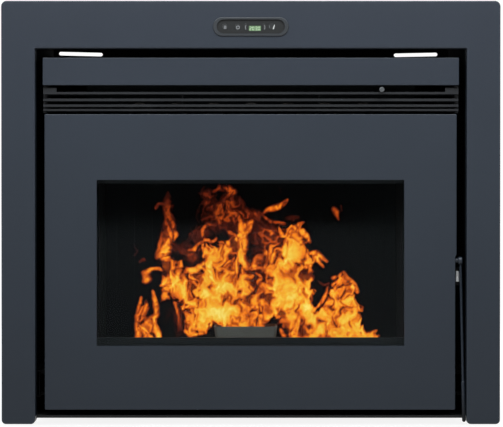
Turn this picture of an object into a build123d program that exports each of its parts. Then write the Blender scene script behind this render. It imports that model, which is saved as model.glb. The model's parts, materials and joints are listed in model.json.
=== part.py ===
from build123d import *
import math
import os

os.makedirs("parts", exist_ok=True)

# ---------------------------------------------------------------- driving dimensions (mm)
# Heights are above the surface the insert stands on. "u" is the depth behind
# the front plane of the surround; YC turns it into the part's own Y, so that
# the origin is under the middle of the whole object.
FRONT_MOST = -2.0            # control bezel stands 2 mm proud of the surround
REAR_MOST = 590.0            # end of the flue spigot
YC = (FRONT_MOST + REAR_MOST) / 2

SUR_W, SUR_H = 800.0, 679.0  # surround outside
OPEN_X, OPEN_Z = 346.2, 602.7  # surround inner edges
SUR_D, SUR_T = 45.0, 3.0     # depth of its folded returns, sheet

CAS_X = 350.0                # casing inside half width
CAS_T = 2.0
CAS_TOP = 630.0
CAS_U0, CAS_U1 = 14.0, 545.0
BASE_Z = 11.4                # underside of the casing base
RIB_Z, RIB_H = (190, 330, 470), 2.0

DOOR_X0, DOOR_X1, DOOR_Z0, DOOR_Z1 = -331.4, 330.6, 22.4, 497.4
DOOR_U, DOOR_T, DOOR_D = 10.0, 4.0, 28.0
WIN = (-247.6, 246.5, 125.2, 392.0)
HINGE_X, HINGE_U = -318.0, 22.0
PIN_R = 4.0
SHAFT_U, SHAFT_Z, SHAFT_R = 21.0, 262.0, 4.0
LEV_MID, LEV_END, LEV_R = (341.4, 13.5, 66.0), (342.2, 4.0, 6.4), 3.0
CATCH_U, CATCH_Z, CATCH_R = 32.0, 264.0, 3.0
GUIDE_X = 333.5

BODY_X = 328.0               # stove body outside half width
BODY_U1 = 500.0
FRAME_U0, FRAME_U1 = 38.0, 46.0
MOUTH = (-255.0, 255.0, 137.0, 386.0)
ASH_SLOT = (-215.0, 215.0, 44.0, 98.0)
SHELL_X, SHELL_U1, SHELL_TOP = 262.0, 300.0, 553.0

FASCIA_X, FASCIA_Z0, FASCIA_Z1 = 334.0, 544.0, 588.0
SLATS = [(531.4, 3.6), (520.6, 4.0), (511.3, 3.9), (504.3, 3.1)]
GRILLE_X = 333.5

POT_X, POT_U = -8.5, 151.0
POT_TOP, POT_BOT = 151.0, 97.0

AUGER_U, AUGER_Z = 400.0, 330.0
FLUE_X, FLUE_Z, FLUE_R = -170.0, 100.0, 40.0
AIR_X, AIR_Z, AIR_R = -8.0, 75.0, 25.0
VOL_U, VOL_Z, VOL_R = 395.0, 120.0, 64.0
BLOW_U, BLOW_Z, BLOW_R = 400.0, 100.0, 30.0
ROD_X, ROD_Z = 210.0, 536.8
SLOTS = [(-340.6, -263.2, 612.4, -1.4), (254.0, 331.2, 611.1, 1.1)]  # x from, x to, height, tilt
SLOT_H = 6.3

BEZ_Z = 637.5
TUBES = [(x, 500.0) for x in range(-180, 181, 60)] + [(x, 462.0) for x in range(-150, 151, 60)]
TUBE_R = 17.0


# ---------------------------------------------------------------- helpers
def B(x0, x1, u0, u1, z0, z1):
    return Pos((x0 + x1) / 2, (u0 + u1) / 2 - YC, (z0 + z1) / 2) * Box(x1 - x0, u1 - u0, z1 - z0)


def mirror_x(shape):
    return mirror(shape, about=Plane.YZ)


def cylY(x, z, r, u0, u1):
    return Pos(x, (u0 + u1) / 2 - YC, z) * Rot(90, 0, 0) * Cylinder(r, u1 - u0)


def cylX(u, z, r, x0, x1):
    return Pos((x0 + x1) / 2, u - YC, z) * Rot(0, 90, 0) * Cylinder(r, x1 - x0)


def cylZ(x, u, r, z0, z1):
    return Pos(x, u - YC, (z0 + z1) / 2) * Cylinder(r, z1 - z0)


def bar(p, q, r):
    """Round bar between two (x, u, z) points."""
    a = Vector(p[0], p[1] - YC, p[2])
    b = Vector(q[0], q[1] - YC, q[2])
    d = b - a
    pl = Plane(origin=a, z_dir=d)
    return pl * Cylinder(r, d.length, align=(Align.CENTER, Align.CENTER, Align.MIN))


def ball(p, r):
    return Pos(p[0], p[1] - YC, p[2]) * Sphere(r)


def rr(x0, x1, z0, z1, r=0.0):
    s = RectangleRounded(x1 - x0, z1 - z0, r) if r > 0 else Rectangle(x1 - x0, z1 - z0)
    return Pos((x0 + x1) / 2, (z0 + z1) / 2) * s


def plate(sk, u0, u1):
    """A sketch drawn in X and Z, made solid from depth u0 to depth u1."""
    return Pos(0, u1 - YC, 0) * extrude(Plane.XZ * sk, amount=u1 - u0)


def prof(pts, x0, x1):
    """A closed (u, z) outline, made solid from x0 to x1."""
    w = Polyline(*[(u - YC, z) for u, z in pts], close=True)
    f = make_face(Plane.YZ * w)
    return Pos(x0, 0, 0) * extrude(f, amount=x1 - x0, dir=(1, 0, 0))


def front_edges(shape):
    f = shape.faces().sort_by(Axis.Y)[0]
    return f.edges()


NODES = []


def save(name, *shapes):
    solids = [s for sh in shapes for s in sh.solids()]
    NODES.append(name)
    out = solids[0] if len(solids) == 1 else Compound(children=solids)
    export_step(out, f"parts/{name}.step")


# ================================================================ fixed casing
base = B(-CAS_X, CAS_X, SUR_D + 1, CAS_U1 + CAS_T, BASE_Z, BASE_Z + CAS_T)
base += B(-OPEN_X + 1, OPEN_X - 1, 10, SUR_D + 1, BASE_Z, BASE_Z + CAS_T)
base += B(-OPEN_X + 1, OPEN_X - 1, 10, 12, BASE_Z - 2, BASE_Z)
save("casing_base", base)

side_r = B(CAS_X, CAS_X + CAS_T, CAS_U0, CAS_U1 + CAS_T, BASE_Z, CAS_TOP)
for z in RIB_Z:              # pressed stiffening ribs
    rib = B(CAS_X + 1, CAS_X + CAS_T + RIB_H, 80, 400, z - 7, z + 7)
    rib = fillet(rib.faces().sort_by(Axis.X)[-1].edges(), RIB_H - 0.2)
    side_r += rib
for z0 in (104, 500):        # cooling-air slots
    for k in range(6):
        z = z0 + 15 * k
        side_r -= cylX(428, z, 3, 340, 360) + cylX(512, z, 3, 340, 360) + B(340, 360, 428, 512, z - 3, z + 3)
top = B(-CAS_X - CAS_T, CAS_X + CAS_T, CAS_U0, CAS_U1 + CAS_T, CAS_TOP, CAS_TOP + CAS_T)
for x in (-270, 0, 270):
    rib = B(x - 7, x + 7, 90, 480, CAS_TOP + 1, CAS_TOP + CAS_T + RIB_H)
    rib = fillet(rib.faces().sort_by(Axis.Z)[-1].edges(), RIB_H - 0.2)
    top += rib
for x in (-135, 135):        # knock-outs for hot-air ducts: a scored ring with four bridges
    ring = cylZ(x, 330, 52, CAS_TOP + 1.2, CAS_TOP + 5) - cylZ(x, 330, 50, CAS_TOP, CAS_TOP + 6)
    ring -= B(x - 60, x + 60, 326, 334, CAS_TOP, CAS_TOP + 6)
    ring -= B(x - 4, x + 4, 270, 390, CAS_TOP, CAS_TOP + 6)
    top -= ring
save("casing_panels", side_r, mirror_x(side_r), top)

back_sk = rr(-CAS_X, CAS_X, BASE_Z + CAS_T, CAS_TOP)
for a, b, z, tilt in SLOTS:
    back_sk -= Pos((a + b) / 2, z) * Rot(0, 0, tilt) * SlotOverall(b - a, SLOT_H)
back_sk -= Pos(FLUE_X, FLUE_Z) * Circle(50)
back_sk -= Pos(AIR_X, AIR_Z) * Circle(33)
back_sk -= rr(236, 304, 40, 146, 6)
for k in range(7):
    back_sk -= rr(80, 215, 58 + 13 * k, 64 + 13 * k, 2.9)
for x in (-300, 300):
    for z in (200, 520):
        back_sk -= Pos(x, z) * Circle(4.5)
back = plate(back_sk, CAS_U1, CAS_U1 + CAS_T)
for x in (-200, 0, 200):
    rib = B(x - 7, x + 7, CAS_U1 + 1, CAS_U1 + CAS_T + RIB_H, 210, 560)
    rib = fillet(rib.faces().sort_by(Axis.Y)[-1].edges(), RIB_H - 0.2)
    back += rib
save("casing_back", back)

feet = []
for x in (-290, 290):
    for u in (150, 490):
        disc = cylZ(x, u, 20, 0, 6)
        disc = fillet(disc.edges().group_by(Axis.Z)[-1], 2.0)
        feet.append(disc + cylZ(x, u, 9.2, 6, 9, ) + cylZ(x, u, 5, 9, BASE_Z))
save("levelling_feet", *feet)

# ---------------------------------------------------------------- surround
pts = [(-SUR_W / 2, 0), (-SUR_W / 2, SUR_H), (SUR_W / 2, SUR_H), (SUR_W / 2, 0),
       (OPEN_X, 0), (OPEN_X, OPEN_Z), (-OPEN_X, OPEN_Z), (-OPEN_X, 0)]
sur = make_face(Polyline(*pts, close=True))
vs = sur.vertices()
sur = fillet([v for v in vs if v.Y > SUR_H - 1], 9.0)
sur = fillet([v for v in sur.vertices() if v.Y < 1], 7.0)
sur = fillet([v for v in sur.vertices() if abs(v.Y - OPEN_Z) < 0.5], 2.5)
shell_in = offset(sur, amount=-SUR_T, kind=Kind.INTERSECTION)
surround = plate(sur, 0, SUR_D)
surround = fillet(front_edges(surround), 2.2)
surround -= plate(shell_in, SUR_T, SUR_D)
surround -= plate(Pos(0, BEZ_Z) * SlotOverall(114, 25), -1, 6)
save("surround_frame", surround)

brk = []
for z in (110, 350, 560):
    r = B(352, 354, 3, 42, z, z + 32) + B(352, 384, 3, 5, z, z + 32)
    brk += [r, mirror_x(r)]
for x in (-230, 200):
    brk.append(B(x, x + 32, 3, 42, 632, 634) + B(x, x + 32, 3, 5, 632, 664))
save("surround_brackets", *brk)

# ---------------------------------------------------------------- control panel
BTN = [  # name, x, half width, half height, kind
    ("button_menu", -42.2, 4.9, 4.9, "round"),
    ("button_power", -21.3, 4.9, 4.9, "round"),
    ("button_minus", -8.6, 2.4, 5.2, "pill"),
    ("button_plus", 21.4, 2.4, 5.2, "pill"),
    ("button_mode", 33.8, 5.6, 4.9, "pill"),
]
LENS = (-3.2, 16.4, 630.6, 639.0)


def btn_sk(x, hw, hh, kind, grow=0.0):
    if kind == "round":
        return Pos(x, BEZ_Z) * Circle(hw + grow)
    r = min(hw, hh) + grow - 0.01
    return Pos(x, BEZ_Z) * RectangleRounded(2 * (hw + grow), 2 * (hh + grow), r)


bez = plate(Pos(0, BEZ_Z) * SlotOverall(121, 30), FRONT_MOST, 0)
bez = fillet(front_edges(bez), 0.9)
bez += plate(Pos(0, BEZ_Z) * SlotOverall(113, 24), 0, 8)
bez -= plate(Pos(0, BEZ_Z) * SlotOverall(110, 21), 1.6, 8)
bez -= plate(Pos(0, BEZ_Z + 0.3) * SlotOverall(109, 22.6), FRONT_MOST - 1, 0.6)
for n, x, hw, hh, kind in BTN:
    bez -= plate(btn_sk(x, hw, hh, kind, 0.25), -3, 3)
bez -= plate(rr(LENS[0] - 0.1, LENS[1] + 0.1, LENS[2] - 0.1, LENS[3] + 0.1, 1.0), -3, 3)
for x in (-50.5, 50.5):
    bez += cylY(x, BEZ_Z, 2.5, 1.2, 9)
save("control_bezel", bez)
save("display_lens", plate(rr(*LENS, 0.9), 0.3, 1.4))
brd = [plate(rr(-56, 56, 628, 647, 4), 9, 10.6), plate(rr(-3.5, 16.7, 630.0, 639.6), 2.0, 9)]
for n, x, hw, hh, kind in BTN:
    brd.append(cylY(x, BEZ_Z, 2.0, 7.9, 9))
save("display_board", *brd)
for n, x, hw, hh, kind in BTN:
    cap = plate(btn_sk(x, hw, hh, kind), 0.2, 2.4)
    cap = fillet(front_edges(cap), 0.3)
    cap += plate(btn_sk(x, hw, hh, kind, 0.6), 2.0, 2.8)
    cap += cylY(x, BEZ_Z, 1.5, 2.8, 7.0)
    save(n, cap)

# ================================================================ telescopic rails
RZ0, RZ1 = 40.0, 84.0
ro = B(348, 350, 50, 480, RZ0, RZ1) + B(341, 348, 50, 480, RZ0, RZ0 + 2) + B(341, 348, 50, 480, RZ1 - 2, RZ1)
rm = B(342.5, 344, 60, 460, RZ0 + 2.4, RZ1 - 2.4)
rm += B(335.5, 342.5, 60, 460, RZ0 + 2.4, RZ0 + 4.4) + B(335.5, 342.5, 60, 460, RZ1 - 4.4, RZ1 - 2.4)
ri = B(328, 330, 60, 470, RZ0 + 4.8, RZ1 - 4.8)
ri += B(330, 341, 60, 470, RZ0 + 4.8, RZ0 + 6.8) + B(330, 341, 60, 470, RZ1 - 6.8, RZ1 - 4.8)
for k in range(4):
    u = 90 + 110 * k
    ro -= cylX(u, 62, 4, 340, 352)
    ri -= cylX(u, 62, 3, 320, 335)
save("rail_outer", ro, mirror_x(ro))
save("rail_middle", rm, mirror_x(rm))
save("rail_inner", ri, mirror_x(ri))

# ================================================================ stove body: box and front
tray = B(-BODY_X + 2, BODY_X - 2, FRAME_U0, BODY_U1 - 2, 26, 28)
save("base_tray", tray)

sp = B(BODY_X - 2, BODY_X, FRAME_U1, BODY_U1, 26, 585) + B(BODY_X - 2, BODY_X, 32, FRAME_U1, 499.6, 585)
rp_sk = rr(-BODY_X + 2, BODY_X - 2, 26, 585)
rp_sk -= Pos(FLUE_X, FLUE_Z) * Circle(FLUE_R)
rp_sk -= Pos(AIR_X, AIR_Z) * Circle(AIR_R)
rp_sk -= rr(247, 293, 48, 138, 2)
for k in range(7):
    rp_sk -= rr(80, 215, 58 + 13 * k, 64 + 13 * k, 2.9)
save("body_panels", sp, mirror_x(sp), plate(rp_sk, BODY_U1 - 2, BODY_U1))

tc = B(-BODY_X, BODY_X, 30, BODY_U1, 585, 587)
tc -= B(-150, 150, 346, 454, 580, 590)
for u0, u1, l0, l1 in ((334, 338, 334, 344), (462, 466, 456, 466)):
    tc += B(-172, 326, u0, u1, 587, 591) + B(-172, 326, l0, l1, 589.6, 591)
save("top_cover", tc)

ff_sk = rr(-BODY_X + 2, BODY_X - 2, 28, 442) - rr(*MOUTH, 6) - rr(*ASH_SLOT, 4)
ff = plate(ff_sk, FRAME_U0, FRAME_U1)
ff -= B(304, 318, FRAME_U0 - 1, FRAME_U0 + 3.5, 240, 272)
save("front_frame", ff)

fas = B(-FASCIA_X, FASCIA_X, 8, 10, FASCIA_Z0, FASCIA_Z1)
fas = fillet(front_edges(fas), 0.8)
fas += B(-FASCIA_X, FASCIA_X, 10, 34, FASCIA_Z1 - 1, FASCIA_Z1)
fas += B(-FASCIA_X, -FASCIA_X + 2, 10, 26, FASCIA_Z0, 587) + B(FASCIA_X - 2, FASCIA_X, 10, 26, FASCIA_Z0, 587)
fas += B(-FASCIA_X, FASCIA_X, 10, 15.5, FASCIA_Z0, FASCIA_Z0 + 2)
save("top_fascia", fas)

gr = B(328, GRILLE_X, 23, 44, 499.6, 543) + mirror_x(B(328, GRILLE_X, 23, 44, 499.6, 543))
for zc, h in SLATS:
    gr += prof([(14, zc - h / 2), (14, zc + h / 2), (16, zc + h / 2), (16, zc - h / 2 + 2.2),
                (31, zc - 3.2), (31, zc - 4.6), (16, zc - h / 2)], -GRILLE_X + 1, GRILLE_X - 1)
    gr += B(GRILLE_X - 2, GRILLE_X, 14, 16, zc - h / 2, zc + h / 2) + B(-GRILLE_X, -GRILLE_X + 2, 14, 16, zc - h / 2, zc + h / 2)
gr += B(312, GRILLE_X, 14, 16, 530, 539.8) + B(-GRILLE_X, -312, 14, 16, 530, 539.8)
for x in (-110, 110):
    gr += B(x - 1, x + 1, 25, 31, 500.0, 528)
save("air_grille", gr)

# ---------------------------------------------------------------- firebox
chute_p0, chute_p1 = (392.0, 318.0), (240.0, 180.0)
c_len = math.hypot(chute_p0[0] - chute_p1[0], chute_p0[1] - chute_p1[1])
c_ang = math.degrees(math.atan2(chute_p0[1] - chute_p1[1], chute_p0[0] - chute_p1[0]))
c_mid = ((chute_p0[0] + chute_p1[0]) / 2, (chute_p0[1] + chute_p1[1]) / 2)


def chute_box(w, length, du=0.0):
    """Square bar along the chute's slope."""
    m = (c_mid[0] + du * math.cos(math.radians(c_ang)), c_mid[1] + du * math.sin(math.radians(c_ang)))
    return Pos(POT_X, m[0] - YC, m[1]) * Rot(c_ang, 0, 0) * Box(w, length, w)


chute_out = chute_box(52, c_len)
chute = chute_out - chute_box(48, c_len + 10)
chute -= cylX(AUGER_U, AUGER_Z, 27, -100, 100)
save("pellet_chute", chute)

wall_r = B(SHELL_X, SHELL_X + 3, FRAME_U1, SHELL_U1 + 3, 28, SHELL_TOP)
back_w = plate(rr(-SHELL_X, SHELL_X, 31, SHELL_TOP), SHELL_U1, SHELL_U1 + 3)
front_w = plate(rr(-SHELL_X, SHELL_X, 442, SHELL_TOP), FRAME_U1, FRAME_U1 + 3)
for x, z in TUBES:
    back_w -= cylY(x, z, TUBE_R, SHELL_U1 - 5, SHELL_U1 + 8)
    front_w -= cylY(x, z, TUBE_R, FRAME_U1 - 5, FRAME_U1 + 8)
front_w -= cylY(ROD_X, ROD_Z, 3.4, FRAME_U1 - 5, FRAME_U1 + 8)
back_w -= chute_out
back_w -= cylY(AIR_X, AIR_Z, AIR_R, SHELL_U1 - 5, SHELL_U1 + 8)
back_w -= cylY(POT_X, 108, 5, SHELL_U1 - 5, SHELL_U1 + 8)
back_w -= B(-255, -230, SHELL_U1 - 5, SHELL_U1 + 8, 450, 540)
floor_w = B(-SHELL_X, SHELL_X, FRAME_U1, SHELL_U1, 28, 31)
top_w = B(-SHELL_X - 3, SHELL_X + 3, FRAME_U1, SHELL_U1 + 3, SHELL_TOP, SHELL_TOP + 3)
run_r = B(150, 156, 60, 290, 31, 47)
save("firebox_shell", wall_r, mirror_x(wall_r), back_w, front_w, floor_w, top_w, run_r, mirror_x(run_r))

hearth = B(-SHELL_X, SHELL_X, FRAME_U1 + 3, SHELL_U1, 115, 118)
hearth -= B(POT_X - 48.5, POT_X + 48.5, POT_U - 42.5, POT_U + 42.5, 110, 120)
for x0, x1 in ((-235, -85), (68, 235)):
    for k in range(4):
        hearth -= B(x0, x1, 80 + 45 * k, 88 + 45 * k, 110, 120)
hearth += B(POT_X - 64, POT_X - 58, POT_U - 56, POT_U + 56, 118, 124)
hearth += B(POT_X + 58, POT_X + 64, POT_U - 56, POT_U + 56, 118, 124)
save("hearth_plate", hearth)

lin_b = B(-246, 246, 284, 300, 118, 430) - chute_out
lin_r = B(246, 262, 49, 284, 118, 430)
for x in range(-225, 226, 30):
    lin_b -= B(x - 2, x + 2, 283, 286.5, 130, 420)
for k in range(8):
    lin_r -= B(245, 248.5, 68 + 28 * k, 72 + 28 * k, 130, 420)
save("firebox_liner", lin_b, lin_r, mirror_x(lin_r))
save("baffle_plate", B(-258, 258, 49, 236, 431, 435) - cylZ(0, 140, 10, 420, 440) + B(-245, 245, 233, 236, 425, 431))

tubes = [cylY(x, z, TUBE_R, FRAME_U1, SHELL_U1 + 6) - cylY(x, z, TUBE_R - 2, FRAME_U1 - 2, SHELL_U1 + 9) for x, z in TUBES]
save("exchanger_tubes", *tubes)

ign = cylY(POT_X, 108, 5, 193.5, 330) + cylY(POT_X, 108, 7.6, 303, 312) + cylY(POT_X, 108, 6.5, 330, 345)
save("igniter", ign)

# ---------------------------------------------------------------- fuel feed
o_low = Plane.XY.offset(360) * Pos(90, AUGER_U - YC) * Rectangle(60, 44)
o_top = Plane.XY.offset(480) * Pos(0, AUGER_U - YC) * Rectangle(330, 130)
i_low = Plane.XY.offset(360) * Pos(90, AUGER_U - YC) * Rectangle(57, 41)
i_top = Plane.XY.offset(480) * Pos(0, AUGER_U - YC) * Rectangle(327, 127)
hop = loft(Sketch() + [o_low, o_top]) + B(-165, 165, AUGER_U - 65, AUGER_U + 65, 480, 585)
hop -= loft(Sketch() + [i_low, i_top])
hop -= B(-163.5, 163.5, AUGER_U - 63.5, AUGER_U + 63.5, 480, 590)
save("hopper", hop)

ah = cylX(AUGER_U, AUGER_Z, 27, -45, 150)
ah += B(58, 122, AUGER_U - 24, AUGER_U + 24, AUGER_Z, 360)
ah -= cylX(AUGER_U, AUGER_Z, 24, -42, 150)
ah -= B(60, 120, AUGER_U - 22, AUGER_U + 22, AUGER_Z, 365)
ah -= chute_box(48, 60, c_len / 2 + 4)
ah -= cylX(AUGER_U, AUGER_Z, 8.05, -50, -40)
ah += (cylX(AUGER_U, AUGER_Z, 38, 150, 154) - cylX(AUGER_U, AUGER_Z, 10, 149, 155))
save("auger_housing", ah)

hel = Helix(pitch=42, height=176, radius=7.5)
fl = sweep(Plane(origin=hel @ 0, x_dir=(1, 0, 0), z_dir=hel % 0) * Pos(7.45, 0) * Rectangle(14.9, 2.6), path=hel, is_frenet=True)
scr = Pos(0, 0, 0) * fl + Pos(0, 0, -14) * Cylinder(8, 208, align=(Align.CENTER, Align.CENTER, Align.MIN))
save("auger_screw", Pos(-36, AUGER_U - YC, AUGER_Z) * Rot(0, 90, 0) * scr)

am = B(154, 198, AUGER_U - 36, AUGER_U + 36, AUGER_Z - 36, AUGER_Z + 34)
am = fillet(am.edges().filter_by(Axis.X), 6)
am += cylX(AUGER_U, AUGER_Z, 28, 198, 246)
am += cylX(AUGER_U, AUGER_Z, 10, 246, 251)
am -= cylX(AUGER_U, AUGER_Z, 8.1, 150, 176)
save("auger_motor", am)

# ---------------------------------------------------------------- smoke side
sb = B(-258, -204, 303, 345, 60, 545) + B(-258, -192, 303, 440, 60, 200)
sb -= B(-256, -206, 305, 343, 62, 543) + B(-256, -194, 305, 438, 62, 198)
sb -= B(-255, -230, 300, 310, 450, 540)
sb -= cylX(VOL_U, VOL_Z, 30, -200, -180)
save("smoke_box", sb)

vol = cylX(VOL_U, VOL_Z, VOL_R, -192, -148) + B(-192, -148, VOL_U, 460, 62, 138)
vol -= cylX(VOL_U, VOL_Z, VOL_R - 2, -190, -150) + B(-190, -150, VOL_U, 461, 64, 136)
vol -= cylX(VOL_U, VOL_Z, 30, -200, -180)
vol -= cylX(VOL_U, VOL_Z, 6, -155, -140)
save("exhaust_fan_housing", vol)

imp = cylX(VOL_U, VOL_Z, 57, -158, -156) + cylX(VOL_U, VOL_Z, 12, -184, -156) + cylX(VOL_U, VOL_Z, 4, -188, -132)
for k in range(8):
    blade = Pos(-171.5, 0, 33) * Box(27, 2.4, 46)
    imp += Pos(0, VOL_U - YC, VOL_Z) * Rot(45 * k, 0, 0) * blade
save("exhaust_impeller", imp)

em = cylX(VOL_U, VOL_Z, 50, -148, -145) + cylX(VOL_U, VOL_Z, 38, -145, -96)
em -= cylX(VOL_U, VOL_Z, 4.08, -150, -128)
save("exhaust_motor", em)

spg = cylY(FLUE_X, FLUE_Z, FLUE_R, 463, REAR_MOST) + B(-212, -128, 460, 463, 58, 142)
spg += cylY(FLUE_X, FLUE_Z, FLUE_R + 2.5, 540, 543)
spg -= cylY(FLUE_X, FLUE_Z, FLUE_R - 1.5, 450, REAR_MOST + 5)
save("flue_spigot", spg)

save("air_intake_pipe", cylY(AIR_X, AIR_Z, AIR_R, SHELL_U1, 585) + cylY(AIR_X, AIR_Z, AIR_R + 2, 540, 543) - cylY(AIR_X, AIR_Z, AIR_R - 1.5, 290, 590))

# ---------------------------------------------------------------- room air side
bh = B(58, 252, 306, 340, 55, 445) + B(58, 252, 340, 452, 55, 150) + B(-200, 215, 306, 332, 440, 530)
bh -= B(60, 250, 308, 338, 57, 447) + B(60, 250, 330, 450, 57, 148) + B(-198, 213, 303, 330, 442, 528)
for k in range(6):
    bh -= B(75, 235, 445, 455, 62 + 13 * k, 70 + 13 * k)
bh -= cylX(BLOW_U, BLOW_Z, 5.08, 50, 65) + cylX(BLOW_U, BLOW_Z, 12, 245, 255)
save("blower_housing", bh)

bw = cylX(BLOW_U, BLOW_Z, 5, 55, 262)
for x in (66, 124, 184, 242):
    bw += cylX(BLOW_U, BLOW_Z, BLOW_R, x, x + 2)
for k in range(16):
    bw += Pos(155, BLOW_U - YC, BLOW_Z) * Rot(22.5 * k, 0, 0) * Pos(0, 0, BLOW_R - 5) * Rot(28, 0, 0) * Box(178, 1.4, 9)
save("blower_wheel", bw)

bm = cylX(BLOW_U, BLOW_Z, 34, 252, 255) + cylX(BLOW_U, BLOW_Z, 28, 255, 302)
bm -= cylX(BLOW_U, BLOW_Z, 5.1, 250, 266)
save("blower_motor", bm)

# ---------------------------------------------------------------- electrics
cb = [B(315, 316.6, 340, 460, 400, 530)]
for u in (346, 454):
    for z in (406, 524):
        cb.append(cylX(u, z, 3, 316.6, BODY_X - 2))
cb += [B(285, 315, 350, 385, 410, 450), B(300, 315, 400, 450, 412, 428), B(301, 315, 395, 412, 450, 478),
       B(301, 315, 420, 437, 450, 478), B(306, 315, 350, 385, 470, 515), B(303, 315, 400, 452, 500, 512)]
for k in range(3):
    cb.append(cylX(358 + 12 * k, 460, 4.5, 297, 315))
save("control_board", *cb)

pi = B(244, 296, 500, 502, 45, 141)
pi += B(249, 291, 470, 500, 50, 92)
pi -= B(256, 284, 478, 505, 61, 81)
pi += B(252, 288, 476, 500, 98, 134)
pi -= B(258, 282, 482, 505, 102, 130)
for x in (263, 270, 277):
    pi += B(x - 1, x + 1, 478, 494, 69, 73)
SW_U, SW_Z = 496.0, 116.0
pi -= cylX(SW_U, SW_Z, 1.55, 255, 285)
save("power_inlet", pi)
sw = prof([(488, 106), (488, 126), (497, 128.4), (505.6, 128.4), (502.0, 116), (505.6, 103.6), (497, 103.6)], 258.6, 281.4)
sw += cylX(SW_U, SW_Z, 1.5, 256, 284)
sw = Pos(0, SW_U - YC, SW_Z) * Rot(-7, 0, 0) * Pos(0, -(SW_U - YC), -SW_Z) * sw
save("power_switch", sw)

# ---------------------------------------------------------------- hinges and catch (on the body)
hb = []
for z in (70, 404):
    arm = cylZ(HINGE_X, HINGE_U, 7, z, z + 6) + B(HINGE_X - 3, HINGE_X + 7, HINGE_U, FRAME_U0, z, z + 6)
    arm += B(-320.5, -304, 35.8, FRAME_U0, z - 2, z + 7)
    arm += cylZ(HINGE_X, HINGE_U, PIN_R, z, z + 26)
    hb.append(arm)
save("hinge_brackets", *hb)

ck = []
for x0, x1, f0, f1 in ((301, 304, 301, 304), (318, 321, 318, 326)):
    c = cylX(CATCH_U, CATCH_Z, 6, x0, x1) + B(x0, x1, CATCH_U, FRAME_U0, CATCH_Z - 12, CATCH_Z + 12)
    c += B(f0, f1, 35, FRAME_U0, CATCH_Z - 16, CATCH_Z + 16)
    ck.append(c - cylX(CATCH_U, CATCH_Z, CATCH_R, x0 - 1, x1 + 1))
ck.append(cylX(CATCH_U, CATCH_Z, CATCH_R, 301, 321))
gb = B(320, 337.2, 35, FRAME_U0, 222, 251) + B(330.5, 337.2, 28, 35, 222, 228) + B(330.5, 337.2, 28, 35, 245, 251)
ck.append(gb)
ck.append(cylZ(GUIDE_X, 31, 3, 228, 245))
save("catch_bracket", *ck)

# ================================================================ door
dp = [(DOOR_X0, DOOR_Z0), (DOOR_X0, DOOR_Z1), (DOOR_X1, DOOR_Z1), (DOOR_X1, 272), (DOOR_X1 - 2.0, 268), (DOOR_X1 - 2.0, DOOR_Z0)]
door_sk = make_face(Polyline(*dp, close=True))
door_sk = fillet([v for v in door_sk.vertices() if v.Y < DOOR_Z0 + 1 or v.Y > DOOR_Z1 - 1], 2.0)
panel = plate(door_sk, DOOR_U, DOOR_U + DOOR_T)
panel = fillet(front_edges(panel), 1.1)
ret = plate(door_sk - offset(door_sk, amount=-3, kind=Kind.INTERSECTION), DOOR_U + DOOR_T, DOOR_D)
for z in (66, 400):
    ret -= B(-335, -325, DOOR_U + DOOR_T, DOOR_D + 5, z, z + 13.5)
panel += ret
for z in (78.5, 412.5):
    panel += B(HINGE_X - 8, HINGE_X + 8, DOOR_U + DOOR_T, HINGE_U + 7, z, z + 17)
win = plate(rr(*WIN, 2.0), DOOR_U - 1, DOOR_U + DOOR_T + 1)
panel -= win
for z in (70, 404):
    panel -= cylZ(HINGE_X, HINGE_U, PIN_R + 0.06, z, z + 30)
panel += B(322, 327, DOOR_U + DOOR_T, 27, SHAFT_Z - 9, SHAFT_Z + 9)
panel -= cylX(SHAFT_U, SHAFT_Z, SHAFT_R + 0.06, 310, 335)
save("door_panel", panel)

gx0, gx1, gz0, gz1 = WIN[0] - 15, WIN[1] + 15, WIN[2] - 15, WIN[3] + 15
glass_seal = plate(rr(gx0 + 2, gx1 - 2, gz0 + 2, gz1 - 2, 3) - rr(WIN[0] - 2, WIN[1] + 2, WIN[2] - 2, WIN[3] + 2, 3), 14, 15)
save("door_glass", plate(rr(gx0, gx1, gz0, gz1, 3), 15, 19))

fr = plate(rr(-300, 300, 28.5, 438, 4) - rr(-284, 284, 42, 424, 3), 14, 28)
fr += plate(rr(-300, 300, 28.5, 438, 4) - rr(-298.6, 298.6, 29.9, 436.6, 4), 28, 31)
fr += plate(rr(-285.4, 285.4, 40.6, 425.4, 3) - rr(-284, 284, 42, 424, 3), 28, 31)
fr -= cylX(SHAFT_U, SHAFT_Z, SHAFT_R + 0.06, 290, 305)
clips = []
for x in (-170, 0, 170):
    for z0, s in ((gz0, -1), (gz1, 1)):
        za, zb = sorted((z0 + s * 0.3, z0 + s * 9))
        zc, zd = sorted((z0 - s * 8, z0 + s * 9))
        clips.append(B(x - 11, x + 11, 14, 19, za, zb) + B(x - 11, x + 11, 19, 20.6, zc, zd))
for s, x0 in ((-1, gx0), (1, gx1)):
    for z in (190, 330):
        xa, xb = sorted((x0 + s * 0.3, x0 + s * 9))
        xc, xd = sorted((x0 - s * 8, x0 + s * 9))
        clips.append(B(xa, xb, 14, 19, z - 11, z + 11) + B(xc, xd, 19, 20.6, z - 11, z + 11))
save("door_inner_frame", fr)
save("glass_clips", *clips)

gk = plate(rr(-298, 298, 30.5, 436, 6) - rr(-286, 286, 40.0, 426, 4), 28, 37.7)
gk = fillet(gk.faces().sort_by(Axis.Y)[-1].edges(), 3.0)
save("door_gaskets", gk, glass_seal)

# ================================================================ handle and latch
kn = cylX(SHAFT_U, SHAFT_Z, 6.4, 333.0, 341.0)
kn = fillet(kn.edges(), 2.4)
lev = kn + cylX(SHAFT_U, SHAFT_Z, SHAFT_R, 291, 336)
lev += bar((337.4, SHAFT_U, SHAFT_Z), LEV_MID, 2.3)
lev += bar(LEV_MID, LEV_END, LEV_R) + ball(LEV_END, LEV_R) + ball(LEV_MID, LEV_R)
save("handle_lever", lev)


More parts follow.
